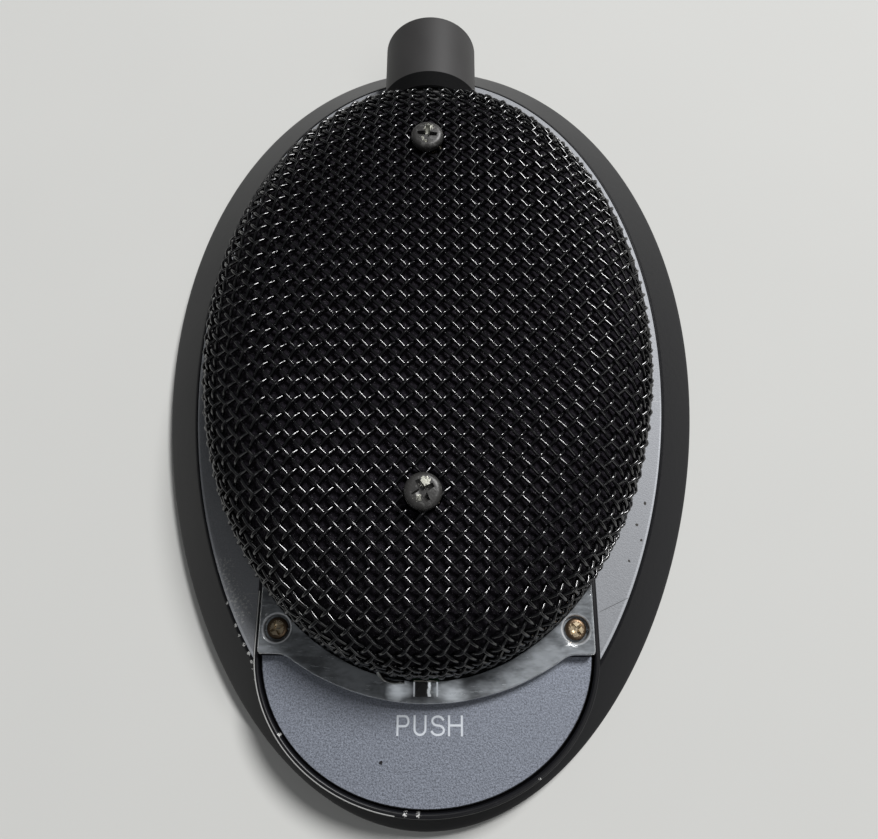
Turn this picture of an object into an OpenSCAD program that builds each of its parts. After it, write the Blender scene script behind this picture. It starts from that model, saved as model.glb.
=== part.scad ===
/* [Base] */
// Width of the oval base
base_w = 103; // [98:1:108]
// Length of the oval base
base_l = 157; // [152:1:164]
// Swell of the base's outline towards its rear, as a share of its width
base_swell = 0.07; // [0:0.01:0.08]
// Swell of the deck's outline
plate_swell = 0.043; // [0:0.001:0.06]
// Plan width of the bevel at the sides
bevel_side = 7.1; // [6:0.1:8]
// Plan width of the bevel at the ends
bevel_end = 7.7; // [7.6:0.1:9.6]
// Gap between the table and the housing's lower edge
skirt_gap = 0.8; // [0.5:0.1:1]
// Height of the upright lip below the bevel
lip_h = 2; // [1.9:0.1:2.4]
// Thickness of the lip round the bottom plate
lip_wall = 3.2; // [2.8:0.1:3.6]
// Height of the deck, the top plate's upper face
deck_h = 8; // [8:0.1:9]
// Thickness of the housing's roof under the top plate
roof_t = 1.5; // [1.2:0.1:1.5]
// Thickness of the metal top plate
plate_t = 0.5; // [0.4:0.05:0.6]
// Thickness of the steel bottom plate
bottom_t = 1.5; // [1.4:0.1:1.6]
// Thickness of the rubber foot pad
foot_t = 1.2; // [1.1:0.1:1.3]
// Distance from the bottom plate's edge to the foot pad's edge
foot_inset = 2; // [2:0.5:5]

/* [Mesh dome] */
// Distance from the base's side to the woven wire dome
dome_side = 10.6; // [9.5:0.1:11.5]
// Distance from the base's nose to the dome
dome_nose = 23.5; // [22.6:0.1:24.5]
// Distance from the base's rear edge to the dome
dome_tail = 18.9; // [17.5:0.1:20]
// Height of the dome above the deck
dome_h = 20.5; // [20:0.5:24]
// Thickness of the woven wire, two wires deep
mesh_t = 1.2; // [1:0.1:1.4]
// Spacing of the main ridges of the weave
weave_pitch = 4.7; // [4.2:0.1:6]
// Depth of the hollows between the ridges
weave_depth = 0.6; // [0.3:0.05:0.7]
// Thickness of the foam under the mesh
foam_t = 3; // [2:0.25:3.25]
// Distance from the dome's rear edge to the rear dome screw
rear_screw_inset = 21; // [20:0.1:23]
// Distance from the dome's front edge to the front dome screw
front_screw_inset = 28; // [26.5:0.1:29]
// Diameter of the dome screws' heads
dome_head_d = 5.9; // [5.5:0.1:6.3]

/* [Push pad] */
// Distance from the base's side to the push pad
pad_side = 23.35; // [22.8:0.05:23.8]
// Distance from the base's nose to the push pad's nose
pad_inset = 4.2; // [3.8:0.1:4.6]
// Depth of the push pad's rounded nose
pad_nose = 24.2; // [23.5:0.1:25]
// Gap round the push pad
pad_gap = 0.3; // [0.3:0.05:0.45]
// Thickness of the collar round the push pad
collar_t = 0.85; // [0.8:0.05:1.2]
// Height of the collar above the deck
collar_rise = 0.4; // [0.2:0.1:0.8]
// Depth of the pad's face below the deck
pad_drop = 0.5; // [0.4:0.05:0.6]
// Thickness of the pad's top wall
pad_t = 1.2; // [1:0.1:1.2]
// Thickness of the metal label on the pad
label_t = 0.25; // [0.15:0.05:0.3]
// Distance from the base's nose to the pad's hinge
hinge_back = 29.8; // [29.4:0.1:30.2]
// Diameter of the hinge pins
hinge_pin_d = 1.6; // [1.4:0.1:1.6]
// Radial clearance of the hinge pins in the pad
hinge_clear = 0.05; // [0.03:0.01:0.08]

/* [Light pipe] */
// Width of the crescent at the middle
pipe_band = 3.3; // [2.6:0.1:3.6]
// Radius of the crescent's front edge
pipe_r = 41; // [39:0.5:44]
// Height of the crescent above the deck
pipe_rise = 1.9; // [1.8:0.1:2.4]
// Distance from the push pad's side to the light pipe screws
pipe_screw_inset = 2.9; // [2.8:0.1:3.1]

/* [Connector] */
// Outer diameter of the connector barrel
barrel_d = 19; // [18.6:0.1:19.4]
// Wall of the connector barrel
barrel_wall = 1.5; // [1.2:0.1:1.7]
// Length of the connector barrel
barrel_l = 27.2; // [26:0.1:28]
// Distance from the base's rear edge to the barrel's mouth
barrel_inset = 5.3; // [5:0.1:7]
// Height of the barrel's axis
barrel_z = 13; // [12.8:0.1:13.4]
// Distance of each contact from the barrel's axis
contact_r = 3.96; // [3.8:0.02:4.1]
// Diameter of a contact pin
contact_d = 2.4; // [2.2:0.1:2.6]
// Free length of a contact pin
contact_l = 11; // [10:0.5:11.5]
// Length of a contact pin's tapered tip
contact_taper = 0.5; // [0.3:0.1:0.8]

/* [Electronics] */
// Thickness of the circuit board
board_t = 1; // [0.8:0.1:1.2]
// Thickness of the insulating sheet under the board
insulator_t = 0.5; // [0.4:0.1:0.6]
// Distance from the push pad's side to the circuit board
board_side = 6; // [5.5:0.5:8]
// Distance from the base's rear edge to the circuit board
board_tail = 44.5; // [43.5:0.5:47]
// Diameter of the microphone capsule
capsule_d = 9.7; // [9.4:0.1:10]
// Length of the microphone capsule
capsule_l = 6.5; // [6:0.25:7]
// Travel of the push switch's plunger
plunger_travel = 0.5; // [0.4:0.05:0.55]
// Travel of the mode slider to each side
slider_travel = 1.5; // [1:0.1:1.6]

/* [Hidden] */

$fn = 64;
oval_steps = 96;
dome_steps = 72;
dome_rings = 15;
profile_steps = 60;
foam_steps = 48;
foam_rings = 9;
eps = 0.01;
over = 1;
fit = 0.1;
close_fit = 0.02;
press_gap = 0.01;
soft_gap = 0.2;

// Heights in the base, from the table up
base_a = base_w / 2;
base_b = base_l / 2;
bottom_top = foot_t + bottom_t;
board_z = bottom_top + insulator_t;
board_top = board_z + board_t;
lip_top = skirt_gap + lip_h;
roof_top = deck_h - plate_t;
ceiling = roof_top - roof_t;
web_gap = 0.9;
web_top = bottom_top + web_gap;
edge_break = 0.4;

// Ovals in plan
plate_a = base_a - bevel_side;
plate_b = base_b - bevel_end;
bottom_a = base_a - lip_wall;
bottom_b = base_b - lip_wall;
dome_a = base_a - dome_side;
dome_b = base_b - (dome_nose + dome_tail) / 2;
dome_shift = (dome_nose - dome_tail) / 2;
dome_front = dome_shift - dome_b;
dome_back = dome_shift + dome_b;
dome_flat = 4.2;
dome_round = 3.6;

// Dome screws and standoffs
front_screw_y = dome_front + front_screw_inset;
rear_screw_y = dome_back - rear_screw_inset;
screw_y = [front_screw_y, rear_screw_y];
m3_r = 1.45;
m3_hole_r = 1.5;
m3_head_h = 2;
m3_grip = 5;
m3_spare = 1;
m3_slot = 0.6;
seat_clear = 0.5;
seat_r = dome_head_d / 2 + seat_clear;
seat_drop = 0.3;
seat_wall = 0.6;
foam_clear = 0.3;
standoff_af = 5;
standoff_r = standoff_af / 2 / cos(30);

// Push pad
pad_a = base_a - pad_side;
pad_tip = -base_b + pad_inset;
pad_cy = pad_tip + pad_nose;
pad_flat = 2;
label_top = deck_h - pad_drop;
pad_top = label_top - label_t;
pad_under = pad_top - pad_t;
paddle_room = 0.8;
skirt_low = board_top + paddle_room;
skirt_t = 1;
label_inset = 0.15;
label_back = 0.1;
hinge_y = -base_b + hinge_back;
knuckle_r = 1.25;
knuckle_cover = 0.05;
hinge_z = pad_top - knuckle_r - knuckle_cover;
pin_r = hinge_pin_d / 2;
collar_top = deck_h + collar_rise;
collar_back = dome_shift - dome_b * 0.68;

// Hinge blocks, which also carry the light pipe's ears
block_w = 4.6;
block_in = pad_a - block_w;
block_ahead = 1.9;
block_behind = 4.6;
block_rise = 0.3;
block_front = hinge_y - block_ahead;
block_back = hinge_y + block_behind;
block_top = label_top + block_rise;
knuckle_gap = 0.4;
knuckle_l = 5;
knuckle_in = block_in - knuckle_gap - knuckle_l;
pin_setback = 0.5;
pin_in = knuckle_in + pin_setback;
pin_out = pad_a - fit;
roof_clear = 0.6;
roof_front = hinge_y + knuckle_r + roof_clear;

// Light pipe
pipe_front = dome_front - soft_gap - pipe_band;
pipe_top = deck_h + pipe_rise;
pipe_screw_x = pad_a - pipe_screw_inset;
pipe_screw_behind = 2;
pipe_screw_y = hinge_y + pipe_screw_behind;
pipe_head_r = 1.8;
pipe_head_h = 0.9;
pipe_well_r = 2.3;
pipe_well_depth = 1.1;
m2_r = 0.8;
m2_hole_r = 0.85;
m2_head_r = 1.7;
m2_head_h = 1.2;
m2_edge = 1.8;
m2_depth = 3;
m2_spare = 0.4;

// LED and its small board
led_w = 3.8;
led_h = 1.2;
led_board_t = 0.8;
led_board_w = 8;
led_tongue_w = 4.4;
led_l = 2.4;
led_side_gap = 0.2;
led_setback = 1.2;
led_board_reach = 3.2;
led_board_gap = 0.3;
led_pocket_w = led_tongue_w + 2 * led_side_gap;
led_front = pipe_front + led_setback;
led_board_back = roof_front + led_board_reach;
led_top = roof_top + led_board_t + led_h;

// Push switch and return pads
switch_ahead = 1.5;
switch_y = (pad_tip + hinge_y) / 2 - switch_ahead;
switch_w = 6;
switch_h = 1;
plunger_r = 1.6;
plunger_gap = 0.1;
plunger_spare = 0.1;
plunger_cavity = plunger_travel + plunger_spare;
return_inset = 12.5;
return_ahead = 1;
return_gap = 0.05;
return_x = pad_a - return_inset;
return_y = switch_y - return_ahead;
return_r = 2.4;

// Mode switch
mode_ahead = 3;
mode_y = front_screw_y - mode_ahead;
mode_l = 9.4;
mode_d = 4.4;
mode_wall = 0.5;
head_room = 0.2;
mode_h = ceiling - board_top - head_room;
slider_l = 3.2;
slider_d = 2.2;
slider_play = 0.3;
slider_reach = 0.3;
slider_h = mode_h - mode_wall - slider_play;
slider_low = foot_t - slider_reach;
slider_slot_l = slider_l + 2 * (slider_travel + slider_play);
slider_slot_d = slider_d + 2 * slider_play;
window_l = 15;
window_d = 9;

// Connector
barrel_r = barrel_d / 2;
socket_r = barrel_r - barrel_wall;
barrel_mouth = base_b - barrel_inset;
barrel_back = barrel_mouth - barrel_l;
contact_setback = 0.6;
contact_tip = barrel_mouth - contact_setback;
insert_face = contact_tip - contact_l;
insert_t = 4.5;
shank_step = 0.3;
shank_r = contact_d / 2 - shank_step;
insert_back = insert_face - insert_t;
cup_l = 2;
plug_clear = 0.8;
saddle_w = 26;
saddle_l = 13;
saddle_bite = 0.1;
grommet_t = 0.8;
grommet_l = 4;
grommet_inset = 1.1;
grommet_back = dome_back - grommet_inset;
grommet_front = grommet_back - grommet_l;
clamp_t = 1;
clamp_l = 4;
clamp_foot = 5;
clamp_setback = 0.5;
clamp_y = barrel_back + clamp_setback;
clamp_foot_t = 1.2;
clamp_screw_gap = 3.2;
clamp_screw_x = barrel_r + clamp_screw_gap;
contact_at = [[-contact_r, 0], [contact_r, 0], [0, -contact_r]];

// Fixings of the base
post_side = 19.9;
post_end = 36;
post_x = base_a - post_side;
post_y = base_b - post_end;
post_r = 3;
post_at = [[-post_x, -post_y], [post_x, -post_y], [-post_x, post_y], [post_x, post_y]];
bottom_head_r = 2.8;
bottom_spare = 0.6;
foot_hole_r = 3.4;
board_screw_floor = 0.2;

// Circuit board and what stands on it
board_nose = 6.5;
board_a = pad_a - board_side;
board_rear = base_b - board_tail;
board_front = pad_tip + board_nose;
mode_inset = 7.5;
mode_x = board_a - mode_inset;
board_edge = 2.5;
board_screw_inset = 3;
board_screw_ahead = 11;
board_screw_rear = 3.5;
board_screw_x = board_a - board_screw_inset;
board_screw_y = [front_screw_y - board_screw_ahead, board_rear - board_screw_rear];
window_side = 14;
window_nose = 11;
window_tail = 6.6;
window_a = dome_a - window_side;
window_y = [front_screw_y + window_nose, rear_screw_y - window_tail];
core_w = 15;
core_l = 13;
core_h = 11;
core_at = [-9.5, 9];
core_leg = 2.6;
winding_gap = 0.3;
capacitor_at = [[6, 18], [6, 10], [14, 14]];
capacitor_r = 2.8;
capacitor_h = 7.5;
chip_at = [8, -4];
chip_l = 10;
chip_w = 4;
chip_h = 1.5;
chip_legs = 8;
resistor_at = [[-14, -6], [-8, -6], [-2, -6], [-14, -11], [-8, -11], [-2, -11]];
header_at = [1, 26];
header_l = 15;
header_w = 3;
header_h = 3;

// Capsule
capsule_r = capsule_d / 2;
cradle_t = 1.4;
capsule_ahead = 7;
capsule_z = roof_top + capsule_r + cradle_t + fit;
capsule_back = front_screw_y - capsule_ahead;
capsule_front = capsule_back - capsule_l;
cradle_l = 5;
cradle_flange = 1.2;
cradle_ear = 5;
cradle_screw_gap = 2.6;
cradle_setback = 0.5;
cradle_screw_x = capsule_r + cradle_t + cradle_screw_gap;
cradle_mid = capsule_back - capsule_l / 2 + cradle_setback;
cap_t = 0.6;
cap_l = 1;
cap_slot_r = 0.7;

// Wires
lead_r = 0.5;
lead_end = 0.05;
lead_start = 1.5;
lead_drop = 4;
capsule_lead_x = 1.5;
lead_clear = 1.8;
lead_apart = 3;

// Height of the dome's outer face on its middle line
function dome_face(y) =
  deck_h + dome_h * pow(1 - pow(abs(y - dome_shift) / dome_b, dome_flat), 1 / dome_round);

// The dome's profile as a quarter of a squarish curve, from the crown at 0 to the rim at 90 degrees
function profile_out(t) = pow(sin(t), 2 / dome_flat);
function profile_up(t) = pow(cos(t), 2 / dome_round);

// Distance along the profile from the crown
function profile_run(k) = k == 0 ? 0
  : let (t = 90 * k / profile_steps, s = 90 * (k - 1) / profile_steps, reach = (dome_a + dome_b) / 2,
      out = reach * (profile_out(t) - profile_out(s)), drop = dome_h * (profile_up(s) - profile_up(t)))
    profile_run(k - 1) + norm([out, drop]);

// Share of that distance with the profile's angle there
dome_profile = [for (k = [0:profile_steps])
  [profile_run(k) / profile_run(profile_steps), 90 * k / profile_steps]];

// Point of the woven sheet, a square with its corners at the dome's sides and ends, pressed over the dome
function weave_point(u, v, skin) =
  let (x = u * sqrt(1 - v * v / 2), y = v * sqrt(1 - u * u / 2), far = norm([x, y]),
    t = far > 1 - eps / dome_b ? 90 : lookup(far, dome_profile),
    out = far > 0 ? profile_out(t) / far / sqrt(2) : 0)
  [(dome_a - skin) * out * (x - y), dome_shift + (dome_b - skin) * out * (x + y),
    deck_h + (dome_h - skin) * profile_up(t)];

// Underside of the mesh at a dome screw
function seat_under(y) = dome_face(y) - seat_drop - mesh_t;

// Points of an ellipse, or of an egg that is wider behind its middle by a swell
function oval(a, b, y0, steps, swell = 0) =
  [for (i = [0:steps - 1]) let (t = 360 * i / steps)
    [a * cos(t) * (1 + swell * sin(t)), y0 + b * sin(t)]];

// Half width of the pad at one place along its length, the sides straight behind the nose
function pad_half(grow, y) = (pad_a + grow)
  * (y < pad_cy ? pow(1 - pow((pad_cy - y) / (pad_nose + grow), pad_flat), 1 / pad_flat) : 1);

// Points of the pad's outline: a squarish round nose and straight sides back to a given line
function pad_outline(grow, back) = concat(
  [[-pad_half(grow, back), back]],
  [for (i = [0:48])
    let (t = 180 + 180 * i / 48, y = pad_cy - (pad_nose + grow) * pow(abs(sin(t)), 2 / pad_flat))
    if (y < back - eps) [(pad_a + grow) * sign(cos(t)) * pow(abs(cos(t)), 2 / pad_flat), y]],
  [[pad_half(grow, back), back]]);

function lift(points, z) = [for (p = points) [p[0], p[1], z]];

// Solid through a list of level rings, each with the same number of points
module loft(rings) {
  n = len(rings[0]);
  last = (len(rings) - 1) * n;
  walls = [for (k = [0:len(rings) - 2]) for (i = [0:n - 1])
    [k * n + i, (k + 1) * n + i, (k + 1) * n + (i + 1) % n, k * n + (i + 1) % n]];
  polyhedron(
    points = [for (r = rings) for (p = r) p],
    faces = concat([[for (i = [0:n - 1]) i]], walls, [[for (i = [n - 1:-1:0]) last + i]]));
}

module oval_block(a, b, y0, low, high, swell = 0) {
  translate([0, 0, low]) linear_extrude(high - low) polygon(oval(a, b, y0, oval_steps, swell));
}

module pad_block(grow, back, low, high) {
  translate([0, 0, low]) linear_extrude(high - low) polygon(pad_outline(grow, back));
}

module box(low, high) {
  translate(low) cube(high - low);
}

// Cylinder along the barrel's axis
module along_y(r, front, back, x = 0, z = barrel_z) {
  translate([x, back, z]) rotate([90, 0, 0]) cylinder(r = r, h = back - front);
}

module post(r, x, y, low, high) {
  translate([x, y, low]) cylinder(r = r, h = high - low);
}

// Solid dome, smaller all round by a given skin
module dome_solid(skin, steps, rings) {
  levels = [for (k = [rings:-1:1])
    [profile_out(90 * k / rings), profile_up(90 * k / rings)]];
  loft(concat(
    [lift(oval(dome_a - skin, dome_b - skin, dome_shift, steps), deck_h - over)],
    [for (v = levels) if (v[1] > 0) lift(oval((dome_a - skin) * v[0], (dome_b - skin) * v[0],
      dome_shift, steps), deck_h + (dome_h - skin) * v[1])]));
}

// Solid dome with ridges along both diagonals and a hollow in each square between them
module woven_dome() {
  n = 2 * round(profile_run(profile_steps) / weave_pitch);
  m = n + 1;
  ridges = [for (i = [0:n]) for (j = [0:n]) weave_point(2 * i / n - 1, 2 * j / n - 1, 0)];
  hollows = [for (i = [0:n - 1]) for (j = [0:n - 1])
    weave_point((2 * i + 1) / n - 1, (2 * j + 1) / n - 1, weave_depth)];
  rim = concat([for (i = [0:n - 1]) i * m], [for (j = [0:n - 1]) n * m + j],
    [for (i = [n:-1:1]) i * m + n], [for (j = [n:-1:1]) j]);
  sides = [for (i = [0:n - 1]) for (j = [0:n - 1])
    let (a = i * m + j, hollow = m * m + i * n + j)
      for (side = [[a, a + 1], [a + 1, a + m + 1], [a + m + 1, a + m], [a + m, a]])
        [side[0], side[1], hollow]];
  polyhedron(points = concat(ridges, hollows), faces = concat(sides, [rim]));
}

function unit(v) = v / norm(v);

// Thin tube through a list of points, mitred at its bends; no stretch of it runs along X
module wire(points, r) {
  n = len(points) - 1;
  runs = [for (i = [0:n - 1]) unit(points[i + 1] - points[i])];
  aims = [for (i = [0:n]) unit(runs[max(i - 1, 0)] + runs[min(i, n - 1)])];
  loft([for (i = [0:n])
    let (v = unit(cross(aims[i], [1, 0, 0])), u = cross(v, aims[i]))
    [for (a = [0:36:324]) points[i] + r * (cos(a) * u + sin(a) * v)]]);
}

// Pan head screw pointing down, its head's underside at the origin
module pan_screw(head_r, head_h, r, grip) {
  rim = head_h * 0.45;
  difference() {
    union() {
      rotate_extrude() polygon([[0, 0], [head_r, 0], [head_r, rim], [head_r * 0.8, head_h * 0.85],
        [head_r * 0.45, head_h], [0, head_h]]);
      translate([0, 0, -grip]) cylinder(r = r, h = grip + eps);
    }
    for (a = [0, 90]) rotate(a) translate([-head_r * 0.55, -head_r * 0.12, head_h * 0.5])
      cube([head_r * 1.1, head_r * 0.24, head_h]);
  }
}

module base_body() {
  loft([
    lift(oval(base_a - edge_break, base_b - edge_break, 0, oval_steps, base_swell), skirt_gap),
    lift(oval(base_a, base_b, 0, oval_steps, base_swell), skirt_gap + edge_break),
    lift(oval(base_a, base_b, 0, oval_steps, base_swell), lip_top),
    lift(oval(plate_a, plate_b, 0, oval_steps, plate_swell), deck_h)]);
}

module base_housing() {
  color([0.055, 0.055, 0.06]) {
    housing_shell();
    hinge_blocks();
  }
}

module housing_shell() {
  difference() {
    union() {
      difference() {
        base_body();
        oval_block(bottom_a + fit, bottom_b + fit, 0, skirt_gap - over, bottom_top, base_swell);
        oval_block(plate_a, plate_b, 0, bottom_top - eps, ceiling, plate_swell);
        oval_block(plate_a, plate_b, 0, roof_top, deck_h + over, plate_swell);
      }
      difference() {
        pad_block(pad_gap + collar_t, collar_back, web_top, collar_top);
        oval_block(dome_a + soft_gap, dome_b + soft_gap, dome_shift, roof_top, collar_top + over);
      }
      for (p = post_at) post(post_r, p[0], p[1], bottom_top, ceiling + eps);
      box([-saddle_w / 2, barrel_mouth - saddle_l, bottom_top],
        [saddle_w / 2, plate_b + saddle_bite, ceiling + eps]);
    }
    pad_block(pad_gap, roof_front, web_top, collar_top + over);
    pad_block(pad_gap, 0, bottom_top, ceiling);
    pad_block(pad_gap, collar_back + over, roof_top, collar_top + over);
    box([-window_a, window_y[0], ceiling - over], [window_a, window_y[1], deck_h]);
    for (y = screw_y) post(m3_hole_r, 0, y, ceiling - over, roof_top + over);
    for (p = post_at) post(m3_hole_r, p[0], p[1], bottom_top - over, ceiling - bottom_spare / 2);
    along_y(barrel_r + close_fit, barrel_back - over, barrel_mouth);
    along_y(barrel_r + plug_clear, barrel_mouth - eps, base_b + over);
    for (s = [-1, 1]) post(m2_hole_r, s * clamp_screw_x, clamp_y + clamp_l / 2, ceiling - over, deck_h);
    for (s = [-1, 1]) post(m2_hole_r, s * cradle_screw_x, cradle_mid, ceiling - over, deck_h);
    post(m2_hole_r, 0, led_board_back - m2_edge, ceiling - over, deck_h);
    pipe_screw_holes();
  }
}

module pipe_screw_holes() {
  for (s = [-1, 1])
    post(m2_hole_r, s * pipe_screw_x, pipe_screw_y, block_top - m2_depth - m2_spare, block_top + over);
}

// Blocks on both sides of the pad that hold the hinge pins and the light pipe's screws
module hinge_blocks() {
  outer = pad_a + pad_gap + collar_t;
  difference() {
    intersection() {
      for (s = [-1, 1]) box([s > 0 ? block_in : -outer, block_front, web_top],
        [s > 0 ? outer : -block_in, block_back, block_top]);
      pad_block(pad_gap + eps, block_back + over, web_top, block_top);
    }
    for (s = [-1, 1]) translate([s * (block_in - over), hinge_y, hinge_z]) rotate([0, s * 90, 0])
      cylinder(r = pin_r + press_gap, h = pin_out - block_in + over);
    pipe_screw_holes();
  }
}

module top_plate() {
  color([0.36, 0.37, 0.39]) difference() {
    oval_block(plate_a - fit, plate_b - fit, 0, roof_top, deck_h, plate_swell);
    oval_block(dome_a - 2.2, dome_b - 2.2, dome_shift, roof_top - over, deck_h + over);
    pad_block(pad_gap + collar_t + fit, dome_shift, roof_top - over, deck_h + over);
    along_y(barrel_r + plug_clear + soft_gap, barrel_back, base_b);
  }
}

module bottom_plate() {
  color([0.3, 0.3, 0.31]) difference() {
    oval_block(bottom_a, bottom_b, 0, foot_t, bottom_top, base_swell);
    for (p = post_at) translate([p[0], p[1], foot_t - eps])
      cylinder(r1 = bottom_head_r + close_fit, r2 = m3_hole_r, h = bottom_t + 2 * eps);
    for (x = [-1, 1], y = board_screw_y)
      post(m2_hole_r, x * board_screw_x, y, foot_t + board_screw_floor, bottom_top + over);
    slider_slot(foot_t - over, bottom_top + over, 0);
  }
}

module slider_slot(low, high, grow) {
  box([mode_x - slider_slot_l / 2 - grow, mode_y - slider_slot_d / 2 - grow, low],
    [mode_x + slider_slot_l / 2 + grow, mode_y + slider_slot_d / 2 + grow, high]);
}

module foot_pad() {
  color([0.04, 0.04, 0.04]) difference() {
    oval_block(bottom_a - foot_inset, bottom_b - foot_inset, 0, 0, foot_t, base_swell);
    for (p = post_at) post(foot_hole_r, p[0], p[1], -over, foot_t + over);
    box([mode_x - window_l / 2, mode_y - window_d / 2, -over],
      [mode_x + window_l / 2, mode_y + window_d / 2, foot_t + over]);
  }
}

module bottom_screws() {
  reach = ceiling - bottom_top - bottom_spare;
  color([0.2, 0.2, 0.2]) for (p = post_at) translate([p[0], p[1], foot_t]) difference() {
    union() {
      cylinder(r1 = bottom_head_r, r2 = m3_r, h = bottom_t);
      translate([0, 0, bottom_t - eps]) cylinder(r = m3_r, h = reach);
    }
    for (a = [0, 90]) rotate(a) translate([-m3_r, -m3_slot / 2, -eps])
      cube([2 * m3_r, m3_slot, bottom_t / 2]);
  }
}

module mesh_dome() {
  color([0.03, 0.03, 0.035]) difference() {
    union() {
      difference() {
        woven_dome();
        dome_solid(mesh_t, dome_steps, dome_rings);
        for (y = screw_y) post(seat_r, 0, y, seat_under(y) - over, deck_h + dome_h + over);
      }
      for (y = screw_y) post(seat_r + seat_wall, 0, y, seat_under(y), seat_under(y) + mesh_t);
    }
    for (y = screw_y) post(m3_hole_r + fit, 0, y, seat_under(y) - over, deck_h + dome_h + over);
    along_y(barrel_r + grommet_t + soft_gap, dome_shift, base_b);
    box([-led_pocket_w / 2, dome_front - over, deck_h - over],
      [led_pocket_w / 2, dome_front + 3 * mesh_t, led_top + led_board_gap]);
  }
}

module foam_liner() {
  skin = mesh_t + soft_gap;
  color([0.05, 0.05, 0.05]) difference() {
    dome_solid(skin, foam_steps, foam_rings);
    dome_solid(skin + foam_t, foam_steps, foam_rings);
    box([-base_w, -base_l, 0], [base_w, base_l, deck_h + soft_gap]);
    for (y = screw_y) post(seat_r + seat_wall + foam_clear, 0, y, deck_h, deck_h + dome_h);
    along_y(barrel_r + clamp_t + 0.6, dome_shift, base_b);
    box([-led_board_w / 2 - 0.6, dome_front, deck_h - over],
      [led_board_w / 2 + 0.6, dome_front + 12, led_top + 1.2]);
  }
}

module hex_standoff(y) {
  color([0.62, 0.6, 0.55]) difference() {
    translate([0, y, roof_top]) rotate(30)
      cylinder(r = standoff_r, h = seat_under(y) - roof_top, $fn = 6);
    post(m3_hole_r, 0, y, roof_top - over, roof_top + m3_grip);
    post(m3_hole_r, 0, y, seat_under(y) - m3_grip, seat_under(y) + over);
  }
}

module front_standoff() {
  hex_standoff(front_screw_y);
}

module rear_standoff() {
  hex_standoff(rear_screw_y);
}

module dome_screws() {
  color([0.16, 0.16, 0.17]) for (y = screw_y) translate([0, y, seat_under(y) + mesh_t])
    pan_screw(dome_head_d / 2, m3_head_h, m3_r, m3_grip);
}

module standoff_screws() {
  color([0.5, 0.5, 0.5]) for (y = screw_y) translate([0, y, ceiling]) mirror([0, 0, 1])
    pan_screw(dome_head_d / 2, ceiling - board_top - head_room, m3_r, roof_t + m3_grip - m3_spare);
}

// Clear crescent between the dome and the pad, with an ear at each end
module light_pipe() {
  color([0.75, 0.78, 0.8, 0.5]) difference() {
    intersection() {
      pad_block(pad_gap - fit, collar_back, block_top, pipe_top);
      union() {
        post(pipe_r, 0, pipe_front + pipe_r, block_top, pipe_top);
        box([-base_w, block_front, block_top], [base_w, 0, pipe_top]);
      }
    }
    oval_block(dome_a + soft_gap, dome_b + soft_gap, dome_shift, block_top - over, pipe_top + over);
    box([-led_pocket_w / 2, led_front - led_side_gap, block_top - over],
      [led_pocket_w / 2, dome_front + over, led_top + led_side_gap]);
    for (s = [-1, 1]) {
      post(m2_hole_r + fit, s * pipe_screw_x, pipe_screw_y, block_top - over, pipe_top + over);
      post(pipe_well_r, s * pipe_screw_x, pipe_screw_y, pipe_top - pipe_well_depth, pipe_top + over);
    }
  }
}

module light_pipe_screws() {
  color([0.55, 0.42, 0.3]) for (s = [-1, 1])
    translate([s * pipe_screw_x, pipe_screw_y, pipe_top - pipe_well_depth])
      pan_screw(pipe_head_r, pipe_head_h, m2_r, pipe_top - pipe_well_depth - block_top + m2_depth);
}

module led_board() {
  color([0.05, 0.25, 0.12]) difference() {
    union() {
      box([-led_board_w / 2, dome_front + mesh_t + led_board_gap, roof_top],
        [led_board_w / 2, led_board_back, roof_top + led_board_t]);
      box([-led_tongue_w / 2, led_front, roof_top],
        [led_tongue_w / 2, led_board_back - over, roof_top + led_board_t]);
    }
    post(m2_hole_r, 0, led_board_back - m2_edge, roof_top - over, deck_h + over);
  }
}

module status_led() {
  color([0.85, 0.85, 0.8]) box([-led_w / 2, led_front, roof_top + led_board_t],
    [led_w / 2, led_front + led_l, led_top]);
}

// Pad that rocks on two pins: a thin top wall with a skirt and two knuckles
module push_paddle() {
  inner = block_in - knuckle_gap;
  back = block_front - knuckle_gap;
  color([0.05, 0.05, 0.055]) difference() {
    union() {
      pad_block(0, back, skirt_low, pad_top);
      box([-inner, back - skirt_t / 2, pad_under], [inner, hinge_y, pad_top]);
      for (s = [-1, 1]) translate([s > 0 ? knuckle_in : -inner, hinge_y, hinge_z]) rotate([0, 90, 0])
        cylinder(r = knuckle_r, h = inner - knuckle_in);
    }
    pad_block(-skirt_t, back - skirt_t, skirt_low - over, pad_under);
    for (s = [-1, 1]) translate([s > 0 ? knuckle_in - over : -inner - over, hinge_y, hinge_z])
      rotate([0, 90, 0]) cylinder(r = pin_r + hinge_clear, h = inner - knuckle_in + 2 * over);
  }
}

module paddle_label() {
  color([0.5, 0.53, 0.58]) difference() {
    pad_block(-label_inset, block_front - knuckle_gap - label_back, pad_top, label_top);
    oval_block(dome_a + 1.4, dome_b + 1.4, dome_shift, pad_top - over, label_top + over);
  }
}

module hinge_pins() {
  color("silver") for (s = [-1, 1]) translate([s > 0 ? pin_in : -pin_out, hinge_y, hinge_z])
    rotate([0, 90, 0]) cylinder(r = pin_r, h = pin_out - pin_in);
}

module return_pads() {
  color([0.25, 0.25, 0.27]) for (s = [-1, 1])
    post(return_r, s * return_x, return_y, board_top, pad_under - return_gap);
}

module push_switch_body() {
  color([0.1, 0.1, 0.1]) difference() {
    box([-switch_w / 2, switch_y - switch_w / 2, board_top],
      [switch_w / 2, switch_y + switch_w / 2, board_top + switch_h]);
    post(plunger_r + fit, 0, switch_y, board_top - over, board_top + switch_h + over);
  }
}

module switch_plunger() {
  color([0.8, 0.78, 0.7]) post(plunger_r, 0, switch_y, board_top + plunger_cavity, pad_under - plunger_gap);
}

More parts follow.
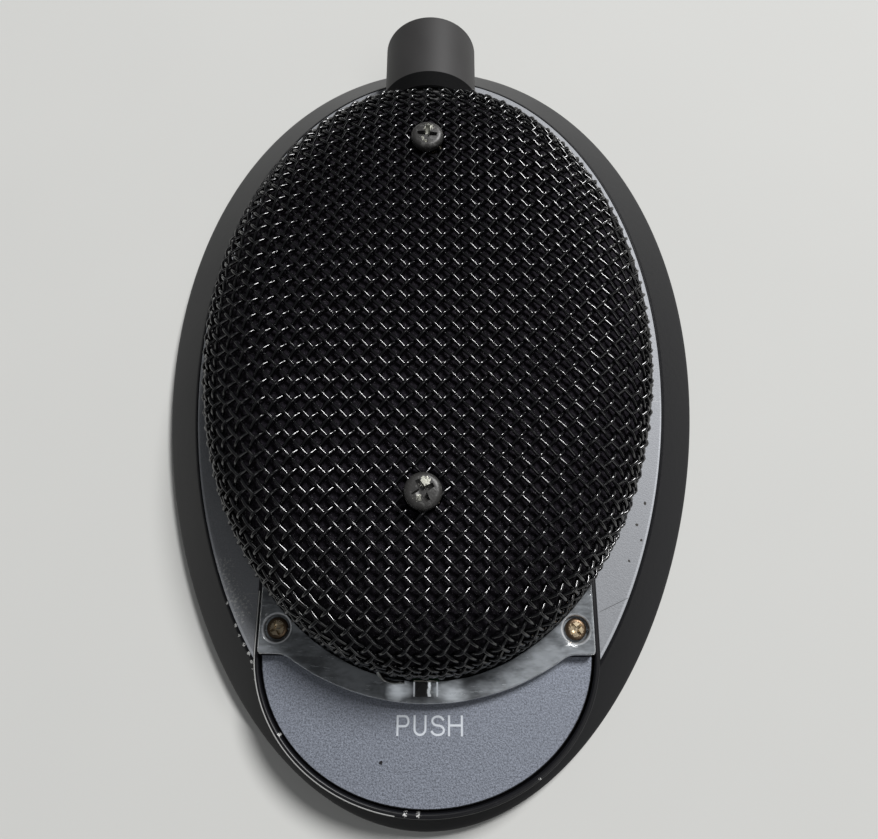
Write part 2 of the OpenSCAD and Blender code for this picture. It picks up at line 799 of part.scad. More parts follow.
module circuit_board() {
  color([0.04, 0.22, 0.1]) difference() {
    intersection() {
      box([-board_a, board_front, board_z], [board_a, board_rear, board_top]);
      oval_block(plate_a - board_edge, plate_b - board_edge, 0, board_z - over, board_top + over, plate_swell);
    }
    for (x = [-1, 1], y = board_screw_y)
      post(m2_hole_r, x * board_screw_x, y, board_z - over, board_top + over);
    slider_slot(board_z - over, board_top + over, 0);
  }
}

module board_insulator() {
  color([0.75, 0.7, 0.55]) difference() {
    intersection() {
      box([-board_a - 1, board_front - 1, bottom_top], [board_a + 1, board_rear + 1, board_z]);
      oval_block(plate_a - board_edge + 1, plate_b - board_edge + 1, 0, bottom_top - over, board_z + over,
        plate_swell);
    }
    for (x = [-1, 1], y = board_screw_y)
      post(m2_hole_r, x * board_screw_x, y, bottom_top - over, board_z + over);
    slider_slot(bottom_top - over, board_z + over, 0);
  }
}

// Identical small screws: four for the board, one for the LED board, two each for cradle and clamp
module small_screws() {
  color([0.6, 0.6, 0.6]) {
    for (x = [-1, 1], y = board_screw_y) small_screw([x * board_screw_x, y, board_top]);
    small_screw([0, led_board_back - m2_edge, roof_top + led_board_t]);
    for (s = [-1, 1]) small_screw([s * cradle_screw_x, cradle_mid, roof_top + cradle_flange]);
    for (s = [-1, 1]) small_screw([s * clamp_screw_x, clamp_y + clamp_l / 2, roof_top + clamp_foot_t]);
  }
}

module small_screw(at) {
  translate(at) pan_screw(m2_head_r, m2_head_h, m2_r, board_t + insulator_t + bottom_t - m2_spare);
}

module mode_switch_body() {
  color([0.12, 0.12, 0.12]) difference() {
    box([mode_x - mode_l / 2, mode_y - mode_d / 2, board_top],
      [mode_x + mode_l / 2, mode_y + mode_d / 2, board_top + mode_h]);
    slider_slot(board_top - over, board_top + mode_h - mode_wall, 0);
  }
}

module mode_slider() {
  color([0.85, 0.85, 0.85]) box([mode_x - slider_l / 2, mode_y - slider_d / 2, slider_low],
    [mode_x + slider_l / 2, mode_y + slider_d / 2, board_top + slider_h]);
}

// Laminated core with a window for the winding on each side of its middle leg
module output_transformer() {
  x = core_at[0];
  y = core_at[1];
  color([0.35, 0.33, 0.32]) difference() {
    box([x - core_w / 2, y - core_l / 4, board_top], [x + core_w / 2, y + core_l / 4, board_top + core_h]);
    for (s = [-1, 1]) translate([s * core_w / 4, 0, 0])
      box([x - core_w / 4 + core_leg / 2, y - core_l, board_top + core_leg],
        [x + core_w / 4 - core_leg / 2, y + core_l, board_top + core_h - core_leg]);
  }
}

module transformer_winding() {
  x = core_at[0];
  y = core_at[1];
  outer = core_w / 2 - core_leg / 2 - winding_gap;
  low = board_top + core_leg + winding_gap;
  high = board_top + core_h - core_leg - winding_gap;
  color([0.72, 0.5, 0.15]) difference() {
    box([x - outer, y - core_l / 2, low], [x + outer, y + core_l / 2, high]);
    box([x - core_leg / 2 - winding_gap, y - core_l / 4 - winding_gap, low - over],
      [x + core_leg / 2 + winding_gap, y + core_l / 4 + winding_gap, high + over]);
    for (s = [-1, 1]) box(
      [x + (s > 0 ? outer - core_leg / 2 : -outer - over), y - core_l / 4 - winding_gap, low - over],
      [x + (s > 0 ? outer + over : -outer + core_leg / 2), y + core_l / 4 + winding_gap, high + over]);
  }
}

module coupling_capacitors() {
  color([0.1, 0.12, 0.3]) for (p = capacitor_at)
    post(capacitor_r, p[0], p[1], board_top, board_top + capacitor_h);
}

module preamp_chip() {
  x = chip_at[0];
  y = chip_at[1];
  color([0.08, 0.08, 0.08]) union() {
    box([x - chip_l / 2, y - chip_w / 2, board_top + 0.2],
      [x + chip_l / 2, y + chip_w / 2, board_top + chip_h]);
    for (i = [0:chip_legs - 1], s = [-1, 1]) {
      leg = x - chip_l / 2 + (i + 0.5) * chip_l / chip_legs;
      box([leg - 0.2, y + (s > 0 ? chip_w / 2 - eps : -chip_w / 2 - 1), board_top],
        [leg + 0.2, y + (s > 0 ? chip_w / 2 + 1 : -chip_w / 2 + eps), board_top + 0.5]);
    }
  }
}

module board_resistors() {
  color([0.15, 0.15, 0.16]) for (p = resistor_at)
    box([p[0] - 1.6, p[1] - 0.8, board_top], [p[0] + 1.6, p[1] + 0.8, board_top + 0.6]);
}

module lead_header() {
  color([0.85, 0.83, 0.75]) box(
    [header_at[0] - header_l / 2, header_at[1] - header_w / 2, board_top],
    [header_at[0] + header_l / 2, header_at[1] + header_w / 2, board_top + header_h]);
}

module capsule_body() {
  color([0.6, 0.6, 0.62]) along_y(capsule_r, capsule_front, capsule_back, 0, capsule_z);
}

// Slotted cap over the capsule's front
module capsule_cap() {
  color([0.2, 0.2, 0.2]) difference() {
    along_y(capsule_r + cap_t, capsule_front - cap_t, capsule_front + cap_l, 0, capsule_z);
    along_y(capsule_r + close_fit, capsule_front, capsule_front + cap_l + over, 0, capsule_z);
    for (a = [0:60:300]) along_y(cap_slot_r, capsule_front - cap_t - over, capsule_front + over,
      capsule_r * 0.5 * cos(a), capsule_z + capsule_r * 0.5 * sin(a));
  }
}

module capsule_cradle() {
  y0 = cradle_mid - cradle_l / 2;
  y1 = cradle_mid + cradle_l / 2;
  color([0.09, 0.09, 0.1]) difference() {
    union() {
      along_y(capsule_r + cradle_t, y0, y1, 0, capsule_z);
      box([-capsule_r - cradle_t, y0, roof_top], [capsule_r + cradle_t, y1, capsule_z]);
      box([-capsule_r - cradle_t - cradle_ear, y0, roof_top],
        [capsule_r + cradle_t + cradle_ear, y1, roof_top + cradle_flange]);
    }
    along_y(capsule_r + close_fit, y0 - over, y1 + over, 0, capsule_z);
    for (s = [-1, 1]) post(m2_hole_r, s * cradle_screw_x, cradle_mid, roof_top - over, capsule_z);
  }
}

module capsule_leads() {
  side = standoff_r + lead_clear;
  clear_y = window_y[0] + lead_drop;
  color([0.7, 0.1, 0.08]) for (s = [-1, 1]) wire([
    [s * capsule_lead_x, capsule_back + lead_end, capsule_z],
    [s * capsule_lead_x, capsule_back + lead_start, capsule_z],
    [s * side, capsule_back + lead_start + lead_drop, capsule_z],
    [s * side, clear_y, roof_top + lead_drop],
    [s * side, clear_y, board_top + lead_end]], lead_r);
}

module connector_barrel() {
  color([0.2, 0.2, 0.21]) difference() {
    along_y(barrel_r, barrel_back, barrel_mouth);
    along_y(socket_r, barrel_back - over, barrel_mouth + over);
  }
}

module connector_insert() {
  color([0.07, 0.07, 0.07]) difference() {
    along_y(socket_r - close_fit, insert_back, insert_face);
    for (p = contact_at)
      along_y(shank_r + press_gap, insert_back - over, insert_face + over, p[0], barrel_z + p[1]);
  }
}

module contact_pins() {
  color([0.8, 0.75, 0.6]) for (p = contact_at) {
    along_y(shank_r, insert_back - cup_l, insert_face + eps, p[0], barrel_z + p[1]);
    along_y(contact_d / 2, insert_face, contact_tip - contact_taper, p[0], barrel_z + p[1]);
    translate([p[0], contact_tip, barrel_z + p[1]]) rotate([90, 0, 0])
      cylinder(r1 = contact_d / 2 - contact_taper * 0.6, r2 = contact_d / 2, h = contact_taper);
  }
}

module connector_leads() {
  cup_y = insert_back - cup_l - lead_end;
  side = [-contact_r, contact_r, contact_r + lead_apart];
  header_z = board_top + header_h;
  color([0.75, 0.6, 0.1]) for (i = [0:2]) wire([
    [contact_at[i][0], cup_y, barrel_z + contact_at[i][1]],
    [contact_at[i][0], cup_y - lead_start, barrel_z + contact_at[i][1]],
    [side[i], barrel_back - lead_drop, barrel_z + contact_at[i][1]],
    [side[i], header_at[1], header_z + lead_drop],
    [side[i], header_at[1], header_z + lead_end]], lead_r);
}

module barrel_grommet() {
  color([0.02, 0.02, 0.02]) difference() {
    along_y(barrel_r + grommet_t, grommet_front, grommet_back);
    along_y(barrel_r + close_fit, grommet_front - over, grommet_back + over);
    box([-base_w, 0, 0], [base_w, base_l, deck_h + close_fit]);
  }
}

module barrel_clamp() {
  y0 = clamp_y;
  y1 = clamp_y + clamp_l;
  out = barrel_r + clamp_t;
  color([0.55, 0.55, 0.56]) difference() {
    union() {
      along_y(out, y0, y1);
      box([-out, y0, roof_top], [out, y1, barrel_z]);
      box([-barrel_r - clamp_foot, y0, roof_top], [barrel_r + clamp_foot, y1, roof_top + clamp_foot_t]);
    }
    along_y(barrel_r + close_fit, y0 - over, y1 + over);
    box([-barrel_r - close_fit, y0 - over, 0], [barrel_r + close_fit, y1 + over, barrel_z]);
    box([-base_w, y0 - over, 0], [base_w, y1 + over, roof_top]);
    for (s = [-1, 1]) post(m2_hole_r, s * clamp_screw_x, clamp_y + clamp_l / 2, roof_top - over, barrel_z);
  }
}

base_housing();
top_plate();
bottom_plate();
foot_pad();
bottom_screws();
mesh_dome();
foam_liner();
front_standoff();
rear_standoff();
dome_screws();
standoff_screws();
light_pipe();
light_pipe_screws();
led_board();
status_led();
push_paddle();
paddle_label();
hinge_pins();
return_pads();
push_switch_body();
switch_plunger();
circuit_board();
board_insulator();
small_screws();
mode_switch_body();
mode_slider();
output_transformer();
transformer_winding();
coupling_capacitors();
preamp_chip();
board_resistors();
lead_header();
capsule_body();
capsule_cap();
capsule_cradle();
capsule_leads();
connector_barrel();
connector_insert();
contact_pins();
connector_leads();
barrel_grommet();
barrel_clamp();
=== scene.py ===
"""Finishes the boundary microphone: its woven dome, cast base, light guide, pad and connector."""

import math

import bpy
import numpy as np
from mathutils import Matrix, Vector


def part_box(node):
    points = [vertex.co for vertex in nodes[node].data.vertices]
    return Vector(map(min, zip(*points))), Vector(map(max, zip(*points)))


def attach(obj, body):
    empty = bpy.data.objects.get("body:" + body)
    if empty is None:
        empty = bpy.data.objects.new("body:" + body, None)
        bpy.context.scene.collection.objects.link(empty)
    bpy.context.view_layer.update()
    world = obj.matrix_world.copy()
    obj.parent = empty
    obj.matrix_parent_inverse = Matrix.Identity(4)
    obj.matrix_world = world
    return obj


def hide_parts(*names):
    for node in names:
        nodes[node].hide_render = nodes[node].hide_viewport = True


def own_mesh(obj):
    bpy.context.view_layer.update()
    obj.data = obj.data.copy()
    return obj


bl_info = {
    "name": "Boundary microphone",
    "version": (1, 0, 0),
    "blender": (4, 5, 0),
    "location": "3D View > Sidebar > Microphone",
    "description": "Builds the visible pieces and finishes of a desk boundary microphone",
    "category": "Object",
}

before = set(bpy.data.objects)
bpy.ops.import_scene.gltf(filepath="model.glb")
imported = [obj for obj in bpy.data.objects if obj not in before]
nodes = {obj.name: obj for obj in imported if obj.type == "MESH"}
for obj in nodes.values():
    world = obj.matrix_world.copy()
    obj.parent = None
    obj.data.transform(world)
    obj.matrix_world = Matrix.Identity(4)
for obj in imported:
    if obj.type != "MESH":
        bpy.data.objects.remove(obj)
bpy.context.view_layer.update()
MM = 0.001
FULL_TURN = 2 * math.pi
SMOOTH_ANGLE = 35.0


def srgb(red, green, blue):
    """Linear colour of a shade given in 0 to 255."""
    def linear(value):
        value /= 255
        return value / 12.92 if value <= 0.04045 else ((value + 0.055) / 1.055) ** 2.4
    return (linear(red), linear(green), linear(blue), 1.0)


def corner(node, high):
    """A corner of a CAD node's box in millimetres."""
    return [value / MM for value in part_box(node)[1 if high else 0]]


def length(label, text, default):
    """A size property; its default is given in millimetres."""
    return bpy.props.FloatProperty(
        name=label, description=text, default=default * MM, min=0, precision=5, unit="LENGTH")


def shade(label, text, *levels):
    """A colour property; its default is given in levels of 0 to 255."""
    return bpy.props.FloatVectorProperty(
        name=label, description=text, default=srgb(*levels), size=4, min=0, max=1, subtype="COLOR")


# Places and sizes read from the CAD nodes
BASE_B, COLLAR_TOP = corner("base_housing", True)[1:]
SKIRT = corner("base_housing", False)[2]
DECK = corner("top_plate", True)[2]
ROOF = corner("top_plate", False)[2]
FLOOR_TOP = corner("bottom_plate", True)[2]
DOME_A = corner("mesh_dome", True)[0]
PAD_A = corner("push_paddle", True)[0]
PAD_TIP = corner("push_paddle", False)[1]
BARREL_R = corner("connector_barrel", True)[0]
BARREL_BACK = corner("connector_barrel", False)[1]
BARREL_MOUTH = corner("connector_barrel", True)[1]
BARREL_Z = corner("connector_barrel", False)[2] + BARREL_R
BAND_FRONT = corner("barrel_grommet", False)[1]
BAND_R, BAND_BACK = corner("barrel_grommet", True)[:2]
GUIDE_LOW = corner("light_pipe", False)[2]
GUIDE_TOP = corner("light_pipe", True)[2]
GUIDE_HALF = corner("light_pipe", True)[0]
GUIDE_NOSE = corner("light_pipe", False)[1]
BOARD_TOP = corner("return_pads", False)[2]
DOME_H = corner("mesh_dome", True)[2] - DECK

# Base and deck: half widths and half lengths of the ovals, and how much each is wider behind
BASE_A = 51.5
BASE_SWELL = 0.07
PLATE_A = 44.4
PLATE_B = 70.8
PLATE_SWELL = 0.043
LIP_WALL = 3.2
LIP_TOP = 2.8
EDGE = 0.4
CEILING = 6.0
SADDLE = 13.0
WINDOW_HALF = 26.7
WINDOW_Y = (-16.0, 32.0)
POSTS = [(x, y) for x in (-31.6, 31.6) for y in (-42.5, 42.5)]
SCREW_HOLE_R = 1.5

# Dome: half length, middle, middle of the woven wire, flatness, thickness and its two screws
DOME_B = 57.3
DOME_Y = 2.3
WOVEN_Y = 2.7
DOME_FLAT = 4.2
DOME_ROUND = 3.6
MESH_T = 1.2
SCREW_Y = (-27.0, 38.6)
SEAT_DEPTH = 0.3

# Push pad, its collar, its hinge and the blocks that carry the hinge pins
PAD_NOSE = 24.2
PAD_GAP = 0.3
PAD_WELL_LOW = FLOOR_TOP + 0.9
COLLAR_T = 0.85
COLLAR_END = -36.66
HINGE_Y = -48.7
HINGE_Z = 5.95
HINGE_BORE_R = 0.81
BLOCK_REACH = 4.6
BLOCK_FRONT = HINGE_Y - 1.9
BLOCK_BACK = HINGE_Y + 4.6

# Light guide: its screws, the pocket over the lamp and the notch in the wire behind it
GUIDE_SCREW = (25.25, -46.7)
GUIDE_HOLE_R = 0.85
GUIDE_HOLE_DEPTH = 3.4
GUIDE_SEAT = GUIDE_TOP - 1.1
POCKET_HALF = 2.2
POCKET_FRONT = -57.3
POCKET_BACK = -54.6
NOTCH_HALF = 2.7
NOTCH_TOP = 10.2

# Marks on the deck plate and chips in the base's paint: place and radius
PLATE_SPECKS = ((39.2, -25.0, 0.3), (37.4, -28.9, 0.26), (37.9, -31.6, 0.22), (35.5, -35.2, 0.2))
PLATE_SCRATCH = (29.8, -43.8, 34.8, -41.5)
PLATE_DUST = ((-33.2, -43.2, 2.6), (-36.6, -36.6, 2.0), (-35.0, -40.0, 2.2))
PAINT_CHIPS = ((-3.1, -74.75, 0.27), (-1.0, -74.8, 0.24), (18.4, -69.5, 0.12), (-23.9, -63.3, 0.19),
               (-34.7, -42.6, 0.2), (-32.9, -46.3, 0.24), (-32.1, -47.9, 0.2), (-31.2, -49.4, 0.26),
               (-30.2, -50.8, 0.3), (-29.6, -52.2, 0.26), (-29.3, -53.3, 0.2), (-29.0, -54.9, 0.24))


class BaseSizes(bpy.types.PropertyGroup):
    paint: shade("Paint", "Black paint of the cast base", 17, 17, 20)
    # also the colour of the bright line on the collar's rim, which is partly a painted highlight
    chip: shade("Chips", "Bare metal where the paint has chipped", 206, 206, 204)
    plate: shade("Top plate", "Grey enamel of the deck plate", 142, 144, 148)
    edge_radius: length("Edge radius", "Rounding of the lip's upper edge", 0.35)
    collar_radius: length("Collar radius", "Rounding of the collar's top edges", 0.28)


class MeshSizes(bpy.types.PropertyGroup):
    lacquer: shade("Lacquer", "Gloss black on the woven wire", 11, 11, 13)
    wire_radius: length("Wire radius", "Radius of the woven wire", 0.29)
    pitch: length("Pitch", "Distance between neighbouring wires in the flat sheet", 2.117)
    foam: shade("Foam", "Foam behind the wire", 26, 23, 29)


class PadSizes(bpy.types.PropertyGroup):
    label: shade("Label", "Grained metal label on the pad", 130, 135, 146)
    ink: shade("Ink", "Printed letters on the label", 216, 221, 228)
    letter_height: length("Letter height", "Height of the letters", 3.15)
    stroke: length("Stroke", "Width of a letter's stroke", 0.34)
    letters_y: length("Word place", "Distance of the word's lower edge in front of the middle", 63.5)


class GuideSizes(bpy.types.PropertyGroup):
    tint: shade("Tint", "Colour of the clear light guide", 214, 220, 226)
    screw: shade("Guide screws", "Plating of the two small screws", 104, 86, 68)
    blend_radius: length("Blend radius", "Hollow radius between the crescent and its ears", 4.0)
    edge_radius: length("Edge radius", "Rounding of the guide's top edges", 0.5)
    front_radius: length("Front radius", "Radius of the crescent's front edge", 41.0)


class PlugSizes(bpy.types.PropertyGroup):
    finish: shade("Barrel", "Satin finish of the connector barrel", 60, 59, 59)
    mouth_radius: length("Mouth radius", "Rounding of the barrel's mouth", 0.45)
    wall: length("Wall", "Wall of the barrel", 1.5)


class StageSizes(bpy.types.PropertyGroup):
    floor: shade("Floor", "Colour of the floor", 211, 211, 208)
    lamp: bpy.props.FloatProperty(
        name="Main lamp", description="Power of the main lamp in watts", default=73.0, min=0)
    sky: bpy.props.FloatProperty(
        name="Sky", description="Strength of the soft light from all sides", default=0.09, min=0)


class MicSizes(bpy.types.PropertyGroup):
    base: bpy.props.PointerProperty(type=BaseSizes, name="Base", description="Base and deck")
    mesh: bpy.props.PointerProperty(type=MeshSizes, name="Mesh", description="Woven dome and foam")
    pad: bpy.props.PointerProperty(type=PadSizes, name="Pad", description="Push pad")
    guide: bpy.props.PointerProperty(type=GuideSizes, name="Guide", description="Light guide")
    plug: bpy.props.PointerProperty(type=PlugSizes, name="Connector", description="Output connector")
    stage: bpy.props.PointerProperty(type=StageSizes, name="Stage", description="Floor and light")


# Shader maths

class Sock:
    """A shader socket that can stand in a Python expression; each operation adds one Math node."""

    def __init__(self, tree, socket):
        self.tree = tree
        self.socket = socket

    def math(self, operation, *values):
        node = self.tree.nodes.new("ShaderNodeMath")
        node.operation = operation
        for socket, value in zip(node.inputs, values):
            plug_in(self.tree, socket, value)
        return Sock(self.tree, node.outputs[0])

    def __add__(self, other):
        return self.math("ADD", self, other)

    def __radd__(self, other):
        return self.math("ADD", other, self)

    def __sub__(self, other):
        return self.math("SUBTRACT", self, other)

    def __rsub__(self, other):
        return self.math("SUBTRACT", other, self)

    def __mul__(self, other):
        return self.math("MULTIPLY", self, other)

    def __rmul__(self, other):
        return self.math("MULTIPLY", other, self)

    def __truediv__(self, other):
        return self.math("DIVIDE", self, other)

    def __pow__(self, other):
        return self.math("POWER", self, other)

    def __gt__(self, other):
        return self.math("GREATER_THAN", self, other)

    def __lt__(self, other):
        return self.math("LESS_THAN", self, other)

    def __abs__(self):
        return self.math("ABSOLUTE", self)

    def least(self, other):
        return self.math("MINIMUM", self, other)

    def most(self, other):
        return self.math("MAXIMUM", self, other)


def plug_in(tree, socket, value):
    if isinstance(value, Sock):
        tree.links.new(value.socket, socket)
    else:
        socket.default_value = value


class Finish:
    """One procedural material. Its textures are laid out in object coordinates, in millimetres."""

    def __init__(self, name):
        self.material = bpy.data.materials.new(name)
        self.material.use_nodes = True
        self.tree = self.material.node_tree
        self.tree.nodes.clear()
        place = self.node("ShaderNodeTexCoord", output="Object")
        self.at = self.node(
            "ShaderNodeVectorMath", {"operation": "SCALE"}, {"Vector": place, "Scale": 1 / MM})
        split = self.node("ShaderNodeSeparateXYZ", values={"Vector": self.at}, output=None)
        self.x, self.y, self.z = (Sock(self.tree, socket) for socket in split.outputs)

    def node(self, kind, settings=None, values=None, output=0):
        """Adds a node: settings first, then its sockets' values or links; returns one output."""
        node = self.tree.nodes.new(kind)
        for key, setting in (settings or {}).items():
            setattr(node, key, setting)
        for key, value in (values or {}).items():
            found = [s for s in node.inputs if key in (s.identifier, s.name)]
            plug_in(self.tree, found[0], value)
        if output is None:
            return node
        return Sock(self.tree, node.outputs[output])

    def noise(self, size, detail=2.0, roughness=0.5, at=None):
        """Noise whose features are about size millimetres wide."""
        return self.node("ShaderNodeTexNoise", values={
            "Vector": at or self.at, "Scale": 1 / size, "Detail": detail, "Roughness": roughness})

    def stretched(self, x, y, z):
        """Coordinates scaled apart along the axes, for brushed or drawn surfaces."""
        return self.node("ShaderNodeVectorMath", {"operation": "MULTIPLY"},
                         {"Vector": self.at, "Vector_001": (x, y, z)})

    def cells(self, size):
        """Distance to the middle of cells about size millimetres wide."""
        return self.node("ShaderNodeTexVoronoi", values={"Vector": self.at, "Scale": 1 / size},
                         output="Distance")

    def step(self, value, low, high):
        """Smooth rise from 0 at low to 1 at high."""
        return self.node("ShaderNodeMapRange", {"interpolation_type": "SMOOTHSTEP"},
                         {"Value": value, "From Min": low, "From Max": high})

    def blend(self, factor, first, second):
        return self.node("ShaderNodeMix", {"data_type": "RGBA"},
                         {"Factor_Float": factor, "A_Color": first, "B_Color": second}, 2)

    def bump(self, height, depth):
        """Bump of a height between 0 and 1, depth millimetres deep."""
        return self.node("ShaderNodeBump", values={
            "Height": height, "Distance": depth * MM, "Strength": 1.0})

    def spots(self, places, ragged=0.0):
        """Mask of small spots, each with its x, y and radius; their edges are round or ragged."""
        mask = None
        tear = (self.noise(0.22, 2.0) - 0.5) * ragged
        for x, y, radius in places:
            far = ((self.x - x) ** 2.0 + (self.y - y) ** 2.0) ** 0.5
            spot = far + tear < radius
            mask = spot if mask is None else mask.most(spot)
        return mask

    def line(self, x0, y0, x1, y1, width):
        """Mask of a straight scratch between two places."""
        reach = math.hypot(x1 - x0, y1 - y0)
        dx, dy = (x1 - x0) / reach, (y1 - y0) / reach
        along = (self.x - x0) * dx + (self.y - y0) * dy
        aside = abs((self.y - y0) * dx - (self.x - x0) * dy)
        return (aside < width) * (along > 0.0) * (along < reach)

    def surface(self, colour, roughness, metallic=0.0, normal=None, **more):
        values = {"Base Color": colour, "Roughness": roughness, "Metallic": metallic}
        if normal:
            values["Normal"] = normal
        values.update({key.replace("_", " "): value for key, value in more.items()})
        shader = self.node("ShaderNodeBsdfPrincipled", values=values)
        self.node("ShaderNodeOutputMaterial", values={"Surface": shader}, output=None)
        return self.material


def tinted(colour, factor):
    return tuple(min(value * factor, 1.0) for value in colour[:3]) + (1.0,)


def moulded(name, colour, roughness=0.5, grain=0.25, depth=0.01, **more):
    """Moulded plastic, rubber or paint: a fine grain with slight shade and gloss variation."""
    finish = Finish(name)
    broad = finish.noise(9.0, 3.0)
    fine = finish.noise(grain, 2.0, 0.6)
    mottled = finish.blend(broad * 0.6 + fine * 0.4, tinted(colour, 0.82), tinted(colour, 1.2))
    rough = roughness - 0.07 + 0.14 * fine
    return finish.surface(mottled, rough, normal=finish.bump(fine, depth), **more)


def drawn_metal(name, colour, roughness=0.32, along="x", depth=0.004):
    """Plated or drawn metal with fine lines along one axis and light handling marks."""
    finish = Finish(name)
    scale = {"x": (0.05, 6.0, 6.0), "y": (6.0, 0.05, 6.0), "z": (6.0, 6.0, 0.05)}[along]
    lines = finish.noise(0.8, 3.0, 0.6, finish.stretched(*scale))
    broad = finish.noise(5.0, 3.0)
    mottled = finish.blend(lines * 0.5 + broad * 0.5, tinted(colour, 0.8), tinted(colour, 1.12))
    rough = roughness - 0.08 + 0.12 * lines + 0.08 * broad
    return finish.surface(mottled, rough, 1.0, finish.bump(lines, depth))


def circuit_green(name, colour):
    """Solder mask over copper tracks, with drilled pads."""
    finish = Finish(name)
    tracks = finish.node("ShaderNodeTexBrick", {"offset": 0.5}, {
        "Vector": finish.at, "Scale": 0.35, "Mortar Size": 0.06, "Mortar Smooth": 0.2,
        "Color1": (0, 0, 0, 1), "Color2": (0, 0, 0, 1), "Mortar": (1, 1, 1, 1)}, "Fac")
    pads = 1 - finish.step(finish.cells(2.4), 0.14, 0.17)
    fine = finish.noise(0.3)
    lacquer = finish.blend(tracks * 0.8, tinted(colour, 0.9), tinted(colour, 1.7))
    plated = finish.blend(pads, lacquer, srgb(176, 172, 160))
    height = (tracks * 0.6).most(pads) + fine * 0.1
    return finish.surface(plated, 0.32 + 0.12 * fine, pads, finish.bump(height, 0.03))


# Mesh code, in millimetres

def make_piece(name, points, faces, material=None, smooth_angle=SMOOTH_ANGLE):
    mesh = bpy.data.meshes.new(name)
    scaled = (np.asarray(points, float) * MM).tolist()
    mesh.from_pydata(scaled, [], [list(map(int, face)) for face in faces])
    mesh.update()
    piece = bpy.data.objects.new(name, mesh)
    bpy.context.scene.collection.objects.link(piece)
    if material:
        mesh.materials.append(material)
    soften(mesh, smooth_angle)
    return piece


def soften(mesh, angle):
    mesh.polygons.foreach_set("use_smooth", [True] * len(mesh.polygons))
    mesh.set_sharp_from_angle(angle=math.radians(angle))


def loft(rings, closed=False):
    """Points and faces of a skin over rings with the same number of points, capped at its ends."""
    count = len(rings[0])
    points = np.concatenate([np.asarray(ring, float) for ring in rings])
    faces = []
    spans = len(rings) if closed else len(rings) - 1
    for k in range(spans):
        low, high = k * count, ((k + 1) % len(rings)) * count
        for i in range(count):
            j = (i + 1) % count
            faces.append((low + i, low + j, high + j, high + i))
    if not closed:
        faces.append(tuple(range(count - 1, -1, -1)))
        faces.append(tuple(range((len(rings) - 1) * count, len(rings) * count)))
    return points, faces


def level(outline, z):
    """A flat outline at a height."""
    return [(x, y, z) for x, y in outline]


def ellipse(a, b, y0=0.0, steps=360, swell=0.0):
    """An ellipse, or an egg that is wider behind its middle by a swell."""
    turns = [FULL_TURN * i / steps for i in range(steps)]
    return [(a * math.cos(t) * (1 + swell * math.sin(t)), y0 + b * math.sin(t)) for t in turns]


def quarter(steps):
    """Cosines and sines of a quarter turn in equal steps, with both its ends."""
    turns = [math.pi / 2 * k / steps for k in range(steps + 1)]
    return [(math.cos(t), math.sin(t)) for t in turns]


def arc(x, y, wide, high, start, turn, steps):
    """Points of an oval arc; its start and its turn are in degrees."""
    turns = [math.radians(start + turn * k / steps) for k in range(steps + 1)]
    return [(x + wide * math.cos(t), y + high * math.sin(t)) for t in turns]


def prism(name, outline, low, high):
    return make_piece(name, *loft([level(outline, low), level(outline, high)]))


def block(name, low, high):
    outline = [(low[0], low[1]), (high[0], low[1]), (high[0], high[1]), (low[0], high[1])]
    return prism(name, outline, low[2], high[2])


def rod(name, radius, x, y, low, high, steps=64):
    return prism(name, [(x + px, y + py) for px, py in ellipse(radius, radius, 0, steps)], low, high)


def barrel_ring(radius, y, steps=128):
    """A circle round the barrel's axis."""
    return [(-x, y, BARREL_Z + z) for x, z in ellipse(radius, radius, 0, steps)]


def barrel_rod(name, radius, front, back):
    return make_piece(name, *loft([barrel_ring(radius, y) for y in (front, back)]))


def hinge_rod(name, radius, low, high, steps=32):
    circle = ellipse(radius, radius, 0, steps)
    rings = [[(x, HINGE_Y + y, HINGE_Z + z) for y, z in circle] for x in (low, high)]
    return make_piece(name, *loft(rings))


def lathe(profile, steps=64):
    """Points and faces of a profile of radius and height pairs turned about the upright axis."""
    rings = []
    for radius, height in profile:
        radius = max(radius, 0.001)
        rings.append(level(ellipse(radius, radius, 0, steps), height))
    return loft(rings)


def combine(piece, operation, *tools):
    """Joins tools to a piece, or cuts them out of it, and removes them."""
    for tool in tools:
        change = piece.modifiers.new("change", "BOOLEAN")
        change.operation = operation
        change.solver = "MANIFOLD"
        change.object = tool
        graph = bpy.context.evaluated_depsgraph_get()
        mesh = bpy.data.meshes.new_from_object(piece.evaluated_get(graph))
        piece.modifiers.clear()
        old = piece.data
        piece.data = mesh
        mesh.name = piece.name
        bpy.data.meshes.remove(old)
        bpy.data.objects.remove(tool)
        if not len(mesh.polygons):
            raise RuntimeError(f"{piece.name} lost its faces")
    soften(piece.data, SMOOTH_ANGLE)
    return piece


def cut(piece, *tools):
    return combine(piece, "DIFFERENCE", *tools)


def add(piece, *tools):
    return combine(piece, "UNION", *tools)


def set_material(piece, material):
    piece.data.materials.clear()
    piece.data.materials.append(material)


def modify(piece, kind, setting, size):
    """Adds a modifier and gives one of its sizes in millimetres."""
    setattr(piece.modifiers.new(kind.lower(), kind), setting, size * MM)


def merge(name, pieces):
    """One piece from several that lie apart."""
    points, faces = [], []
    for piece in pieces:
        start = len(points)
        points += [tuple(v.co / MM) for v in piece.data.vertices]
        faces += [[start + i for i in face.vertices] for face in piece.data.polygons]
        bpy.data.objects.remove(piece)
    return make_piece(name, points, faces)


def ribbon(line, half, low, high):
    """Sections of a flat printed stroke along a line."""
    p = np.array(line)
    along = np.gradient(p, axis=0)
    along /= np.linalg.norm(along, axis=1)[:, None]
    p[0] -= along[0] * half
    p[-1] += along[-1] * half
    side = np.stack([-along[:, 1], along[:, 0]], axis=1) * half
    return [[(*(a - s), low), (*(a + s), low), (*(a + s), high), (*(a - s), high)]
            for a, s in zip(p, side)]


